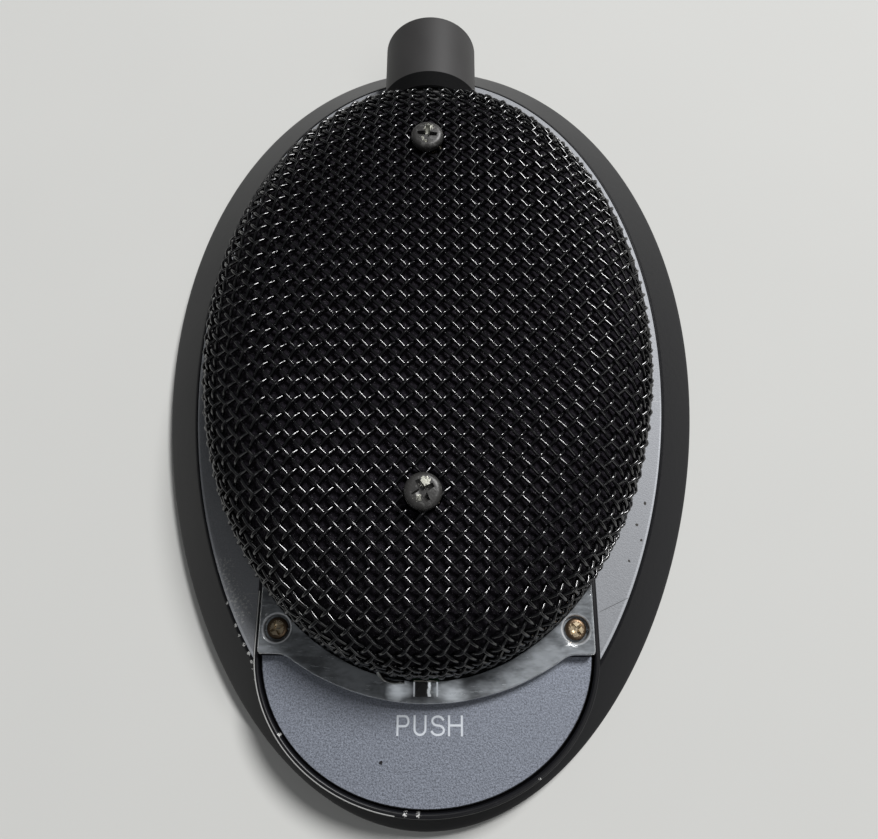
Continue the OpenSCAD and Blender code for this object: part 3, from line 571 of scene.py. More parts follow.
def dome_top(y):
    """Height of the dome's upper face on its middle line."""
    return DECK + DOME_H * (1 - (abs(y - DOME_Y) / DOME_B) ** DOME_FLAT) ** (1 / DOME_ROUND)


def pad_outline(grow, back, steps=120):
    """The pad's outline: a squarish round nose with straight sides back to one line."""
    middle = PAD_TIP + PAD_NOSE
    points = [(-(PAD_A + grow), back)]
    for i in range(steps + 1):
        turn = math.pi + math.pi * i / steps
        c, s = math.cos(turn), abs(math.sin(turn))
        x = (PAD_A + grow) * c
        y = middle - (PAD_NOSE + grow) * s
        if y < back - 0.01:
            points.append((x, y))
    points.append((PAD_A + grow, back))
    return points


# Operators

class MIC_OT_paint_inner_parts(bpy.types.Operator):
    """Gives every part that keeps its CAD shape the finish of its material"""

    bl_idname = "mic.paint_inner_parts"
    bl_label = "Paint inner parts"

    def execute(self, context):
        steel = drawn_metal("zinc plated steel", srgb(150, 150, 152), 0.36, "y")
        bright = drawn_metal("bright screw steel", srgb(176, 176, 178), 0.28, "z")
        brass = drawn_metal("nickel plated brass", srgb(186, 178, 160), 0.26, "z")
        rubber = moulded("foot rubber", srgb(30, 30, 31), 0.78, 0.4, 0.05)
        board = circuit_green("board lacquer", srgb(22, 84, 46))
        black = moulded("black moulding", srgb(26, 26, 27), 0.45, 0.2, 0.01)
        blackened = drawn_metal("blackened steel", srgb(42, 42, 44), 0.45, "z")
        finishes = {
            "bottom_plate": steel,
            "foot_pad": rubber,
            "bottom_screws": blackened,
            "front_standoff": brass,
            "rear_standoff": brass,
            "standoff_screws": bright,
            "led_board": board,
            "status_led": moulded("lamp body", srgb(226, 224, 214), 0.3, 0.3, 0.005),
            "push_paddle": moulded("pad moulding", srgb(24, 24, 26), 0.4, 0.3, 0.01),
            "hinge_pins": bright,
            "push_switch_body": black,
            "switch_plunger": moulded("plunger moulding", srgb(208, 200, 176), 0.4),
            "circuit_board": board,
            "board_insulator": moulded("fish paper", srgb(196, 184, 146), 0.7, 0.6, 0.02),
            "small_screws": bright,
            "mode_switch_body": black,
            "mode_slider": moulded("slider moulding", srgb(224, 224, 222), 0.42),
            "output_transformer": drawn_metal("core laminations", srgb(112, 108, 104), 0.45, "x", 0.05),
            "transformer_winding": drawn_metal("enamelled copper", srgb(176, 112, 52), 0.34, "x", 0.06),
            "coupling_capacitors": moulded("capacitor sleeve", srgb(30, 38, 74), 0.3, 1.2, 0.004),
            "preamp_chip": moulded("chip moulding", srgb(34, 34, 36), 0.5, 0.12, 0.01),
            "board_resistors": moulded("resistor body", srgb(36, 36, 40), 0.38),
            "lead_header": moulded("header moulding", srgb(222, 218, 200), 0.42),
            "capsule_body": drawn_metal("capsule can", srgb(168, 168, 170), 0.3, "y"),
            "capsule_cap": moulded("capsule cap", srgb(46, 46, 48), 0.46),
            "capsule_cradle": moulded("cradle rubber", srgb(34, 34, 35), 0.7, 0.5, 0.02),
            "capsule_leads": moulded("red sleeving", srgb(172, 34, 28), 0.4, 0.8, 0.004),
            "connector_insert": moulded("insert moulding", srgb(30, 30, 31), 0.42, 0.3, 0.01),
            "contact_pins": drawn_metal("plated contact", srgb(206, 196, 166), 0.22, "y"),
            "connector_leads": moulded("yellow sleeving", srgb(196, 160, 44), 0.4, 0.8, 0.004),
            "barrel_clamp": blackened,
        }
        for name, material in finishes.items():
            set_material(nodes[name], material)
            modify(nodes[name], "WELD", "merge_threshold", 0.001)
        return {"FINISHED"}


class MIC_OT_cast_base(bpy.types.Operator):
    """Makes the cast base with its lip, bevel, collar and hinge blocks"""

    bl_idname = "mic.cast_base"
    bl_label = "Cast base"

    def execute(self, context):
        sizes = context.scene.mic.base
        shell = self.shell(sizes.edge_radius / MM)
        collar = self.collar(sizes.collar_radius / MM)
        posts = [rod("post", 2 * SCREW_HOLE_R, x, y, FLOOR_TOP, CEILING + 0.2) for x, y in POSTS]
        saddle = block("saddle", (-SADDLE, BARREL_MOUTH - SADDLE, FLOOR_TOP),
                       (SADDLE, PLATE_B + 0.1, CEILING + 0.05))
        add(shell, collar, saddle, *posts)
        roof_front = HINGE_Y + 1.85
        window = block("window", (-WINDOW_HALF, WINDOW_Y[0], CEILING - 1),
                       (WINDOW_HALF, WINDOW_Y[1], DECK))
        cut(shell,
            prism("opening", pad_outline(PAD_GAP, roof_front), PAD_WELL_LOW, COLLAR_TOP + 1),
            prism("cavity", pad_outline(PAD_GAP - 0.01, 0.0), FLOOR_TOP + 0.01, CEILING - 0.01),
            prism("clearing", pad_outline(PAD_GAP + 0.005, COLLAR_END + 1),
                  ROOF + 0.001, COLLAR_TOP + 1),
            window,
            barrel_rod("seat", BARREL_R + 0.02, BARREL_BACK - 1, BARREL_MOUTH + 0.01),
            barrel_rod("channel", BARREL_R + 0.8, BARREL_MOUTH, BASE_B + 1))
        holes = [rod("hole", SCREW_HOLE_R, 0, y, CEILING - 1, ROOF + 1) for y in SCREW_Y]
        holes += [rod("hole", SCREW_HOLE_R, x, y, FLOOR_TOP - 1, CEILING - 0.3) for x, y in POSTS]
        cut(shell, *holes)
        add(shell, *self.hinge_blocks())
        set_material(shell, self.paint(sizes))
        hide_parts("base_housing")
        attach(shell, "root")
        plate = self.plate()
        set_material(plate, self.enamel(sizes))
        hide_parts("top_plate")
        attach(plate, "root")
        return {"FINISHED"}

    @staticmethod
    def shell(radius):
        """Housing from the roof over the bevel and lip to the hollow underside."""
        side, end = BASE_A - PLATE_A, BASE_B - PLATE_B

        def ring(inset, z, inset_end=None):
            swell = BASE_SWELL + (PLATE_SWELL - BASE_SWELL) * inset / side
            inset_end = inset * end / side if inset_end is None else inset_end
            return level(ellipse(BASE_A - inset, BASE_B - inset_end, swell=swell), z)

        slope = math.atan2(DECK - LIP_TOP, side)
        rings = [ring(side, ROOF, end), ring(side, DECK - 0.08, end),
                 ring(side - 0.04, DECK - 0.02, end - 0.05), ring(side - 0.16, DECK - 0.05, end - 0.19)]
        lip = []
        for k in range(6):
            turn = slope + (math.pi / 2 - slope) * k / 5
            drop = radius * (math.cos(turn) - math.tan((math.pi / 2 - slope) / 2))
            lip.append((radius * (1 - math.sin(turn)), LIP_TOP + drop))
        rows = 14
        for k in range(1, rows):
            share = k / rows
            rings.append(ring((side - 0.16) * (1 - share) + lip[0][0] * share,
                              (DECK - 0.05) * (1 - share) + lip[0][1] * share))
        rings += [ring(inset, z) for inset, z in lip]
        rings += [ring(EDGE * (1 - c), SKIRT + EDGE * (1 - s)) for c, s in quarter(4)]
        seat = ellipse(BASE_A - LIP_WALL + 0.1, BASE_B - LIP_WALL + 0.1, swell=BASE_SWELL)
        hollow = ellipse(PLATE_A, PLATE_B, swell=PLATE_SWELL)
        rings += [level(seat, SKIRT), level(seat, FLOOR_TOP),
                  level(hollow, FLOOR_TOP), level(hollow, CEILING)]
        return make_piece("cast_base", *loft(rings[::-1]))

    @staticmethod
    def collar(radius):
        """U-shaped collar round the pad with rounded top edges."""
        inner = pad_outline(PAD_GAP, COLLAR_END)
        outer = pad_outline(PAD_GAP + COLLAR_T, COLLAR_END)
        share = radius / COLLAR_T
        section = [(0.0, PAD_WELL_LOW), (1.0, PAD_WELL_LOW)]
        section += [(1 - share * (1 - c), COLLAR_TOP - radius * (1 - s)) for c, s in quarter(4)]
        section += [(share * (1 - s), COLLAR_TOP - radius * (1 - c)) for c, s in quarter(4)]
        rings = []
        for (x0, y0), (x1, y1) in zip(inner, outer):
            rings.append([(x0 + (x1 - x0) * t, y0 + (y1 - y0) * t, z) for t, z in section])
        piece = make_piece("collar", *loft(rings[::-1]))
        dome = prism("dome", ellipse(DOME_A + 0.2, DOME_B + 0.2, DOME_Y), ROOF, COLLAR_TOP + 1)
        return cut(piece, dome)

    @staticmethod
    def hinge_blocks():
        """The blocks beside the pad, bored for the hinge pins and the light guide's screws."""
        blocks = []
        for side in (-1, 1):
            left, right = sorted((side * (PAD_A - BLOCK_REACH), side * (PAD_A + PAD_GAP + 0.05)))
            piece = block("block", (left, BLOCK_FRONT, PAD_WELL_LOW),
                          (right, BLOCK_BACK, GUIDE_LOW - 0.01))
            low, high = sorted((side * (PAD_A - BLOCK_REACH - 1), side * (PAD_A - 0.1)))
            cut(piece, hinge_rod("bore", HINGE_BORE_R, low, high),
                rod("hole", GUIDE_HOLE_R, side * GUIDE_SCREW[0], GUIDE_SCREW[1],
                    GUIDE_LOW - GUIDE_HOLE_DEPTH, GUIDE_LOW + 1, 32))
            blocks.append(piece)
        return blocks

    @staticmethod
    def plate():
        """Thin oval sheet on the roof, open under the dome and round the pad and the barrel."""
        outline = ellipse(PLATE_A - 0.1, PLATE_B - 0.1, swell=PLATE_SWELL)
        inside = ellipse(PLATE_A - 0.18, PLATE_B - 0.18, swell=PLATE_SWELL)
        rings = [level(outline, ROOF), level(outline, DECK - 0.08), level(inside, DECK)]
        return cut(
            make_piece("deck_plate", *loft(rings)),
            prism("dome", ellipse(DOME_A - 2.2, DOME_B - 2.2, DOME_Y), ROOF - 1, DECK + 1),
            prism("pad", pad_outline(PAD_GAP + COLLAR_T + 0.1, DOME_Y), ROOF - 1, DECK + 1),
            barrel_rod("barrel", BARREL_R + 1, BARREL_BACK, BASE_B))

    @staticmethod
    def enamel(sizes):
        """Satin grey with specks, dust, one long scratch and fine ones, and a painted highlight along
        the outer rim in front.
        """
        finish = Finish("grey enamel")
        fine = finish.step(finish.noise(0.26, 3.0, 0.7), 0.3, 0.7)
        broad = finish.noise(14.0, 3.0)
        colour = finish.blend(fine * 0.5 + broad * 0.4,
                              tinted(sizes.plate, 0.78), tinted(sizes.plate, 1.22))
        # painted highlight: the plate's outer rim is lightened in front, as if its edge caught the
        # light
        across = finish.x / (PLATE_A + 0.75 * PLATE_SWELL * finish.y)
        painted_highlight_rim = (across ** 2.0 + (finish.y / PLATE_B) ** 2.0) > 0.984
        front = finish.step(finish.y, 4.0, -14.0)
        colour = finish.blend(painted_highlight_rim * front * 0.6, colour, tinted(sizes.plate, 1.7))
        colour = finish.blend(finish.spots(PLATE_SPECKS, 0.5), colour, srgb(58, 56, 54))
        colour = finish.blend(finish.line(*PLATE_SCRATCH, 0.07) * 0.7, colour, srgb(84, 84, 86))
        dusty = finish.spots(PLATE_DUST, 5.0) * finish.step(finish.noise(0.5, 3.0, 0.7), 0.5, 0.62)
        colour = finish.blend(dusty * 0.5, colour, srgb(214, 214, 212))
        scratch = finish.noise(0.7, 4.0, 0.6, finish.stretched(0.05, 1.8, 1.0))
        marks = finish.step(scratch, 0.66, 0.72)
        colour = finish.blend(marks * 0.3, colour, srgb(190, 190, 190))
        return finish.surface(colour, 0.46 + 0.12 * fine + 0.08 * broad, 0.4,
                              finish.bump(fine - 0.3 * marks, 0.012), Specular_IOR_Level=0.35)

    @classmethod
    def paint(cls, sizes):
        """Black paint with a slight orange peel, scuffs, chips, and a bright line on the collar's rim
        that is partly rubbed paint and partly a painted highlight.
        """
        finish = Finish("cast black paint")
        peel = finish.noise(1.1, 2.0, 0.45)
        fine = finish.noise(0.22, 2.0, 0.6)
        broad = finish.noise(16.0, 3.0)
        colour = finish.blend(broad * 0.7 + fine * 0.3,
                              tinted(sizes.paint, 0.75), tinted(sizes.paint, 1.35))
        # the chip mask also carries the collar's bright rim line, partly wear and partly a painted
        # highlight
        chips_and_rim_highlight = finish.spots(PAINT_CHIPS, 1.1).most(cls.rim_wear_and_highlight(finish))
        scuffs = finish.step(finish.noise(0.5, 4.0, 0.65, finish.stretched(0.3, 0.6, 1.0)), 0.7, 0.78)
        colour = finish.blend(scuffs * 0.25, colour, srgb(92, 92, 92))
        colour = finish.blend(chips_and_rim_highlight, colour, sizes.chip)
        rough = 0.27 + 0.08 * fine + 0.1 * broad + 0.15 * chips_and_rim_highlight
        height = peel * 0.75 + fine * 0.25 - chips_and_rim_highlight * 1.5
        return finish.surface(colour, rough, 0.0, finish.bump(height, 0.014), Specular_IOR_Level=0.4)

    @staticmethod
    def rim_wear_and_highlight(finish):
        """Mask of the collar's outer top edge, mostly on the left in front: a thin bright line, partly
        paint rubbed off and partly a painted highlight.
        """
        grow = PAD_GAP + COLLAR_T
        nose = (finish.y - (PAD_TIP + PAD_NOSE)).least(0.0) / (PAD_NOSE + grow)
        reach = ((finish.x / (PAD_A + grow)) ** 2.0 + nose ** 2.0) ** 0.5
        patchy = finish.noise(2.2, 3.0, 0.6)
        # kept to the left side, where the edge was bright in the light: painted highlight
        left = finish.step(finish.x, 4.0, -14.0)
        edge = (reach > 0.9905) * (reach < 1.002) * (finish.z > COLLAR_TOP - 0.3)
        return edge * (left + 0.4 * patchy - 0.2 > 0.5) * (finish.y < -40.5)


class MIC_OT_woven_dome(bpy.types.Operator):
    """Weaves the wire dome from two crossing families of wire"""

    bl_idname = "mic.woven_dome"
    bl_label = "Woven dome"

    def execute(self, context):
        sizes = context.scene.mic.mesh
        self.pitch = sizes.pitch / MM
        self.radius = sizes.wire_radius / MM
        lacquer = self.lacquer(sizes)
        for name, turn in (("mesh_wires_left", 0.25), ("mesh_wires_right", -0.25)):
            self.place(make_piece(name, *self.family(turn * math.pi), lacquer, 180.0))
        bare = drawn_metal("bare cut wire", srgb(196, 196, 192), 0.26, "x", 0.003)
        self.place(make_piece("cut_wire", *self.bent_end(), bare, 60.0))
        return {"FINISHED"}

    @staticmethod
    def lacquer(sizes):
        """Gloss black with a few places where it has dulled."""
        finish = Finish("black lacquered wire")
        fine = finish.noise(0.5, 3.0)
        broad = finish.noise(8.0, 2.0)
        colour = finish.blend(broad, tinted(sizes.lacquer, 0.7), tinted(sizes.lacquer, 1.4))
        wear = finish.step(finish.noise(1.4, 4.0, 0.7), 0.7, 0.76)
        colour = finish.blend(wear * 0.35, colour, srgb(74, 72, 72))
        return finish.surface(colour, 0.12 + 0.1 * fine, 0.0, finish.bump(fine, 0.005),
                              Specular_IOR_Level=0.8)

    @staticmethod
    def place(piece):
        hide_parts("mesh_dome")
        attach(piece, "root")

    def press(self, u, v):
        """Presses points of the flat sheet onto the dome, at the same bearing and distance along it."""
        skin = MESH_T / 2 - 0.02
        a, b, h = DOME_A - skin, DOME_B - skin, DOME_H - skin
        far = np.hypot(u, v)
        cx, cy = np.where(far > 1e-9, u, 1.0) / np.maximum(far, 1e-9), v / np.maximum(far, 1e-9)
        reach = 1 / np.sqrt((cx / a) ** 2 + (cy / b) ** 2)
        t = np.linspace(0, math.pi / 2, 160)
        out, up = np.sin(t) ** (2 / DOME_FLAT), np.cos(t) ** (2 / DOME_ROUND)
        run = reach[:, None] * np.diff(out)[None, :]
        rise = h * np.diff(up)[None, :]
        along = np.cumsum(np.hypot(run, rise), axis=1)
        along = np.concatenate([np.zeros((len(u), 1)), along], axis=1)
        index = np.clip((along < far[:, None]).sum(axis=1) - 1, 0, len(t) - 2)
        rows = np.arange(len(u))
        low, high = along[rows, index], along[rows, index + 1]
        mix = np.clip((far - low) / np.maximum(high - low, 1e-9), 0, 1)
        radius = reach * (out[index] + (out[index + 1] - out[index]) * mix)
        z = DECK + h * (up[index] + (up[index + 1] - up[index]) * mix)
        foot = 0.32 * np.clip((DECK + 4.0 - z) / 3.0, 0, 1)
        points = np.stack([(radius + foot) * cx, WOVEN_Y + (radius + foot) * cy, z], axis=1)
        for y in SCREW_Y:
            seat = dome_top(y) - SEAT_DEPTH - MESH_T / 2
            near = np.hypot(points[:, 0], points[:, 1] - y)
            flat = 1 - np.clip((near - 2.6) / 1.8, 0, 1)
            flat = flat * flat * (3 - 2 * flat)
            points[:, 2] += (seat - points[:, 2]) * flat
        return points, far <= along[:, -1]

    def family(self, turn):
        """Wires that run at one angle over the sheet, each going over and under the others."""
        sheet_half = 75
        across = int(sheet_half / self.pitch)
        stops = np.arange(-4 * across, 4 * across + 1) * self.pitch / 4
        points, faces, count = [], [], 0
        ahead = np.array([math.cos(turn), math.sin(turn)])
        aside = np.array([-math.sin(turn), math.cos(turn)])
        phase, crimp = (0.0, 1.5) if turn > 0 else (1.0, 0.5)
        for i in range(-across, across + 1):
            flat = ahead[None, :] * stops[:, None] + aside[None, :] * i * self.pitch
            middle, inside = self.press(flat[:, 0], flat[:, 1])
            if not inside.any():
                continue
            u, v = (flat * 0.999).T
            base = self.press(u, v)[0]
            normal = np.cross(self.press(u + 0.05, v)[0] - base, self.press(u, v + 0.05)[0] - base)
            normal /= np.maximum(np.linalg.norm(normal, axis=1), 1e-12)[:, None]
            wave = np.cos(math.pi * (i + stops / self.pitch + phase))
            middle = middle + normal * (self.radius * crimp * wave)[:, None]
            keep = inside & self.clear(middle)
            for run in self.runs(keep):
                ring_points, ring_faces = self.tube(middle[run], normal[run])
                points.append(ring_points)
                faces.append(ring_faces + count)
                count += len(ring_points)
        return np.concatenate(points), [f for group in faces for f in group.tolist()]

    def clear(self, p):
        """True where a wire may be: above the deck and clear of screws, barrel and lamp notch."""
        holes = np.ones(len(p), bool)
        for y in SCREW_Y:
            holes &= np.hypot(p[:, 0], p[:, 1] - y) > SCREW_HOLE_R + 0.2
        room = np.where(p[:, 1] < BAND_FRONT - 0.3, 0.36, BAND_R - BARREL_R + 0.33)
        arch = (np.hypot(p[:, 0], p[:, 2] - BARREL_Z) > BARREL_R + room) | (p[:, 1] < 40)
        notch = (abs(p[:, 0]) > NOTCH_HALF) | (p[:, 1] > -50) | (p[:, 2] > NOTCH_TOP)
        return holes & arch & notch & (p[:, 2] > DECK + 0.2)

    @staticmethod
    def runs(keep):
        """Index lists of the unbroken stretches of a wire."""
        found, start = [], None
        for k in range(len(keep) + 1):
            on = k < len(keep) and keep[k]
            if on and start is None:
                start = k
            if not on and start is not None:
                if k - start > 2:
                    found.append(np.arange(start, k))
                start = None
        return found

    def tube(self, middle, normal):
        """Points and faces of a six-sided wire along a line, each end closed with two faces."""
        sides = 6
        ahead = np.gradient(middle, axis=0)
        ahead /= np.linalg.norm(ahead, axis=1)[:, None]
        side = np.cross(ahead, normal)
        side /= np.linalg.norm(side, axis=1)[:, None]
        up = np.cross(side, ahead)
        turns = FULL_TURN * np.arange(sides) / sides
        ring = (middle[:, None, :] + self.radius * (np.cos(turns)[None, :, None] * up[:, None, :]
                                                    + np.sin(turns)[None, :, None] * side[:, None, :]))
        count = len(middle)
        index = np.arange(count - 1)[:, None] * sides + np.arange(sides)[None, :]
        after = np.arange(count - 1)[:, None] * sides + (np.arange(sides)[None, :] + 1) % sides
        quads = np.stack([index, after, after + sides, index + sides], axis=2).reshape(-1, 4)
        first = np.array([[0, 3, 2, 1], [0, 5, 4, 3]])
        end = (count - 1) * sides
        last = np.array([[0, 1, 2, 3], [0, 3, 4, 5]]) + end
        return ring.reshape(-1, 3), np.concatenate([quads, first, last])

    def bent_end(self):
        """The cut wire that stands proud beside the lamp notch."""
        way = np.array([[-8.2, -52.0, 13.0], [-7.95, -53.1, 11.8], [-7.4, -54.2, 10.8],
                        [-6.5, -54.95, 10.35], [-5.2, -55.2, 10.3], [-3.4, -55.1, 10.35]])
        t = np.linspace(0, len(way) - 1, 24)
        k = np.clip(t.astype(int), 0, len(way) - 2)
        middle = way[k] + (way[k + 1] - way[k]) * (t - k)[:, None]
        for _ in range(3):
            middle[1:-1] = (middle[:-2] + 2 * middle[1:-1] + middle[2:]) / 4
        normal = np.tile(np.array([0.0, -0.5, 0.85]), (len(middle), 1))
        points, faces = self.tube(middle, normal)
        return points, faces.tolist()


class MIC_OT_foam(bpy.types.Operator):
    """Makes the foam lining behind the woven wire"""

    bl_idname = "mic.foam"
    bl_label = "Foam lining"

    def execute(self, context):
        outer = self.dome(MESH_T + 0.2)
        inner = self.dome(MESH_T + 3.2)
        nose = DOME_Y - DOME_B
        cut(outer, inner, block("below", (-60, -70, 0), (60, 70, DECK + 0.2)),
            barrel_rod("arch", BARREL_R + 1.06, DOME_Y, BASE_B),
            block("lamp", (-4.6, nose, 5), (4.6, nose + 12, NOTCH_TOP + 0.5)),
            *[rod("screw", 3.1, 0, y, 5, 40) for y in SCREW_Y])
        set_material(outer, self.open_cells(context.scene.mic.mesh.foam))
        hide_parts("foam_liner")
        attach(outer, "root")
        return {"FINISHED"}

    @staticmethod
    def open_cells(foam):
        """Dark foam with open cells and small glints on their walls."""
        finish = Finish("open cell foam")
        pores = finish.cells(0.5)
        fine = finish.noise(0.3, 3.0)
        glint = finish.step(finish.noise(0.16, 1.0, 0.7), 0.68, 0.74)
        colour = finish.blend(pores, tinted(foam, 1.5), tinted(foam, 0.5))
        colour = finish.blend(glint * 0.7, colour, srgb(120, 118, 122))
        return finish.surface(colour, 0.9 - 0.3 * glint, 0.0, finish.bump(pores + 0.3 * fine, 0.2),
                              Specular_IOR_Level=0.15)

    @staticmethod
    def dome(skin, steps=128, count=28):
        """A closed dome that lies a skin's depth inside the CAD dome."""
        a, b, h = DOME_A - skin, DOME_B - skin, DOME_H - skin
        rings = [level(ellipse(a, b, DOME_Y, steps), DECK - 1)]
        for c, s in quarter(count)[-2:0:-1]:
            out, up = s ** (2 / DOME_FLAT), c ** (2 / DOME_ROUND)
            rings.append(level(ellipse(a * out, b * out, DOME_Y, steps), DECK + h * up))
        return make_piece("foam_lining", *loft(rings))


class MIC_OT_light_guide(bpy.types.Operator):
    """Makes the clear crescent that leads the lamp's light, and its two screws"""

    bl_idname = "mic.light_guide"
    bl_label = "Light guide"

    def execute(self, context):
        sizes = context.scene.mic.guide
        guide = self.guide(sizes)
        set_material(guide, self.acrylic(sizes))
        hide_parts("light_pipe")
        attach(guide, "root")
        spots = [(side * GUIDE_SCREW[0], GUIDE_SCREW[1], GUIDE_SEAT) for side in (-1, 1)]
        screws = cross_screws("guide_screws", spots, (25.0, 40.0), 1.8, 0.9, 0.8, 4.0)
        set_material(screws, self.bronze(sizes))
        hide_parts("light_pipe_screws")
        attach(screws, "root")
        return {"FINISHED"}

    @classmethod
    def guide(cls, sizes):
        """The crescent with its ears, as a loft of upright sections, with its pocket and wells."""
        radius = sizes.edge_radius / MM
        end = GUIDE_HALF - radius
        stations = np.concatenate([end + radius * np.sin(np.linspace(math.pi / 2, 0, 6)),
                                   np.linspace(end, 0, 110)[1:]])
        stations = np.concatenate([-stations, stations[-2::-1]])
        rings = []
        for x in stations:
            front = cls.front(abs(x), sizes.front_radius / MM, sizes.blend_radius / MM)
            back = DOME_Y - (DOME_B + 0.12) * math.sqrt(1 - (x / (DOME_A + 0.12)) ** 2)
            over = max(abs(x) - end, 0.0)
            top = GUIDE_TOP - radius + math.sqrt(max(radius ** 2 - over ** 2, 0.0))
            small = min(radius, top - GUIDE_LOW - 0.1)
            ring = [(x, back, GUIDE_LOW), (x, front, GUIDE_LOW)]
            ring += [(x, front + small * (1 - c), top - small * (1 - s)) for c, s in quarter(5)]
            small *= 0.25
            ring += [(x, back - small * (1 - s), top - small * (1 - c)) for c, s in quarter(3)]
            rings.append(ring)
        tools = [block("pocket", (-POCKET_HALF, POCKET_FRONT, GUIDE_LOW - 1),
                       (POCKET_HALF, POCKET_BACK + 2.6, GUIDE_TOP - 0.35))]
        well, faces = lathe([(2.15, GUIDE_SEAT), (2.15, GUIDE_TOP - 0.45), (2.3, GUIDE_TOP - 0.2),
                             (2.62, GUIDE_TOP + 0.02), (2.62, GUIDE_TOP + 1)])
        for side in (-1, 1):
            x, y = side * GUIDE_SCREW[0], GUIDE_SCREW[1]
            tools.append(rod("hole", GUIDE_HOLE_R + 0.1, x, y, GUIDE_LOW - 1, GUIDE_TOP + 1))
            tools.append(make_piece("well", well + np.array([x, y, 0]), faces))
        return cut(make_piece("light_guide", *loft(rings)), *tools)

    @staticmethod
    def bronze(sizes):
        """Dull bronze plating, rubbed bright round the recess."""
        finish = Finish("bronze plated screw")
        patchy = finish.noise(0.7, 3.0, 0.6)
        fine = finish.noise(0.2, 2.0)
        rubbed = finish.spots([(side * GUIDE_SCREW[0], GUIDE_SCREW[1], 1.15) for side in (-1, 1)], 1.2)
        colour = finish.blend(patchy, tinted(sizes.screw, 0.75), tinted(sizes.screw, 1.2))
        colour = finish.blend(rubbed * 0.8, colour, srgb(214, 196, 166))
        return finish.surface(colour, 0.32 + 0.14 * fine, 0.9, finish.bump(fine + patchy, 0.01))

    @staticmethod
    def acrylic(sizes):
        """Milky clear plastic with flow streaks, and painted light: glowing patches beside the lamp's
        pocket, bright lines over the pocket and rings round the screw wells are painted highlights in
        colour and emission; the pocket and the front face below the top are painted shade.
        """
        finish = Finish("milky acrylic")
        flow = finish.step(finish.noise(2.2, 3.0, 0.6, finish.stretched(0.45, 1.0, 1.0)), 0.3, 0.7)
        fine = finish.noise(0.3, 2.0)
        marks = finish.step(finish.noise(0.9, 4.0, 0.65, finish.stretched(0.25, 1.2, 1.0)), 0.58, 0.7)
        colour = finish.blend(flow, tinted(sizes.tint, 0.22), tinted(sizes.tint, 0.7))
        colour = finish.blend(marks * 0.35, colour, sizes.tint)
        # painted glow: two bright patches beside the pocket, in colour and, through lit below, as
        # emission
        left = ((finish.x + 4.5) ** 2.0 + (1.3 * finish.y + 73.1) ** 2.0) ** 0.5
        right = ((0.7 * finish.x - 2.9) ** 2.0 + (finish.y + 56.3) ** 2.0) ** 0.5
        glow = finish.step(left.least(right + 0.2) + 1.3 * flow, 3.2, 0.8)
        colour = finish.blend(glow * 0.85, colour, sizes.tint)
        # painted shade: the area over the lamp's pocket is darkened
        pocket = (finish.y < POCKET_BACK) * (finish.y > POCKET_FRONT)
        inside = finish.step(abs(finish.x + 0.45), 1.25, 1.0) * pocket
        colour = finish.blend(inside * 0.8, colour, srgb(46, 44, 41))
        # painted highlights: bright lines over the pocket
        lines = finish.step(abs(finish.x - 0.8 - 0.5 * (flow - 0.5)), 0.34, 0.12)
        lines = lines.most(0.8 * finish.step(abs(finish.x - 1.95), 0.2, 0.06))
        lines = lines.most(0.7 * finish.step(abs(finish.x + 1.85), 0.16, 0.04)) * pocket
        colour = finish.blend(lines, colour, srgb(240, 242, 243))
        # painted highlight: a bright ring round each screw well
        away = (abs(finish.x) - GUIDE_SCREW[0]) ** 2.0 + (finish.y - GUIDE_SCREW[1]) ** 2.0
        painted_highlight_rim = finish.step(abs(away ** 0.5 - 2.42), 0.2, 0.06)
        colour = finish.blend(painted_highlight_rim * (0.25 + 0.6 * flow), colour, srgb(232, 234, 236))
        # painted shade: the front face below the top edge is darkened, as in the shadowed gap under the
        # guide
        below = finish.step(finish.z, GUIDE_TOP - 0.35, GUIDE_TOP - 0.8)
        below = below * finish.step(abs(finish.x + 3.0), 17.0, 10.0)
        colour = finish.blend(below * 0.85, colour, srgb(30, 24, 22))
        # emission makes the painted glow, lines and rings shine, though the guide is no lamp
        lit = (glow * (1 - inside)).most(lines).most(0.15 * painted_highlight_rim) * (1 - below)
        glare = finish.blend(lit, (0.0, 0.0, 0.0, 1.0), sizes.tint)
        return finish.surface(colour, 0.12 + 0.1 * fine + 0.2 * marks, 0.0,
                              finish.bump(flow + 0.15 * fine + 0.1 * marks, 0.05),
                              Transmission_Weight=0.4, IOR=1.49,
                              Emission_Color=glare, Emission_Strength=0.38)

    @staticmethod
    def front(x, front_radius, blend_radius):
        """Front edge of the guide at a distance from its middle: arc, hollow blend, then the ear."""
        middle = GUIDE_NOSE + front_radius
        ear = HINGE_Y - 2.15
        reach = front_radius + blend_radius
        centre_y = ear - blend_radius
        centre_x = math.sqrt(reach ** 2 - (middle - centre_y) ** 2)
        touch = front_radius * centre_x / reach
        if x <= touch:
            return middle - math.sqrt(front_radius ** 2 - x ** 2)
        if x <= centre_x:
            return centre_y + math.sqrt(blend_radius ** 2 - (x - centre_x) ** 2)
        corner_radius = 0.7
        over = max(x - (GUIDE_HALF - corner_radius), 0.0)
        return ear + corner_radius - math.sqrt(corner_radius ** 2 - min(over, 0.69) ** 2)


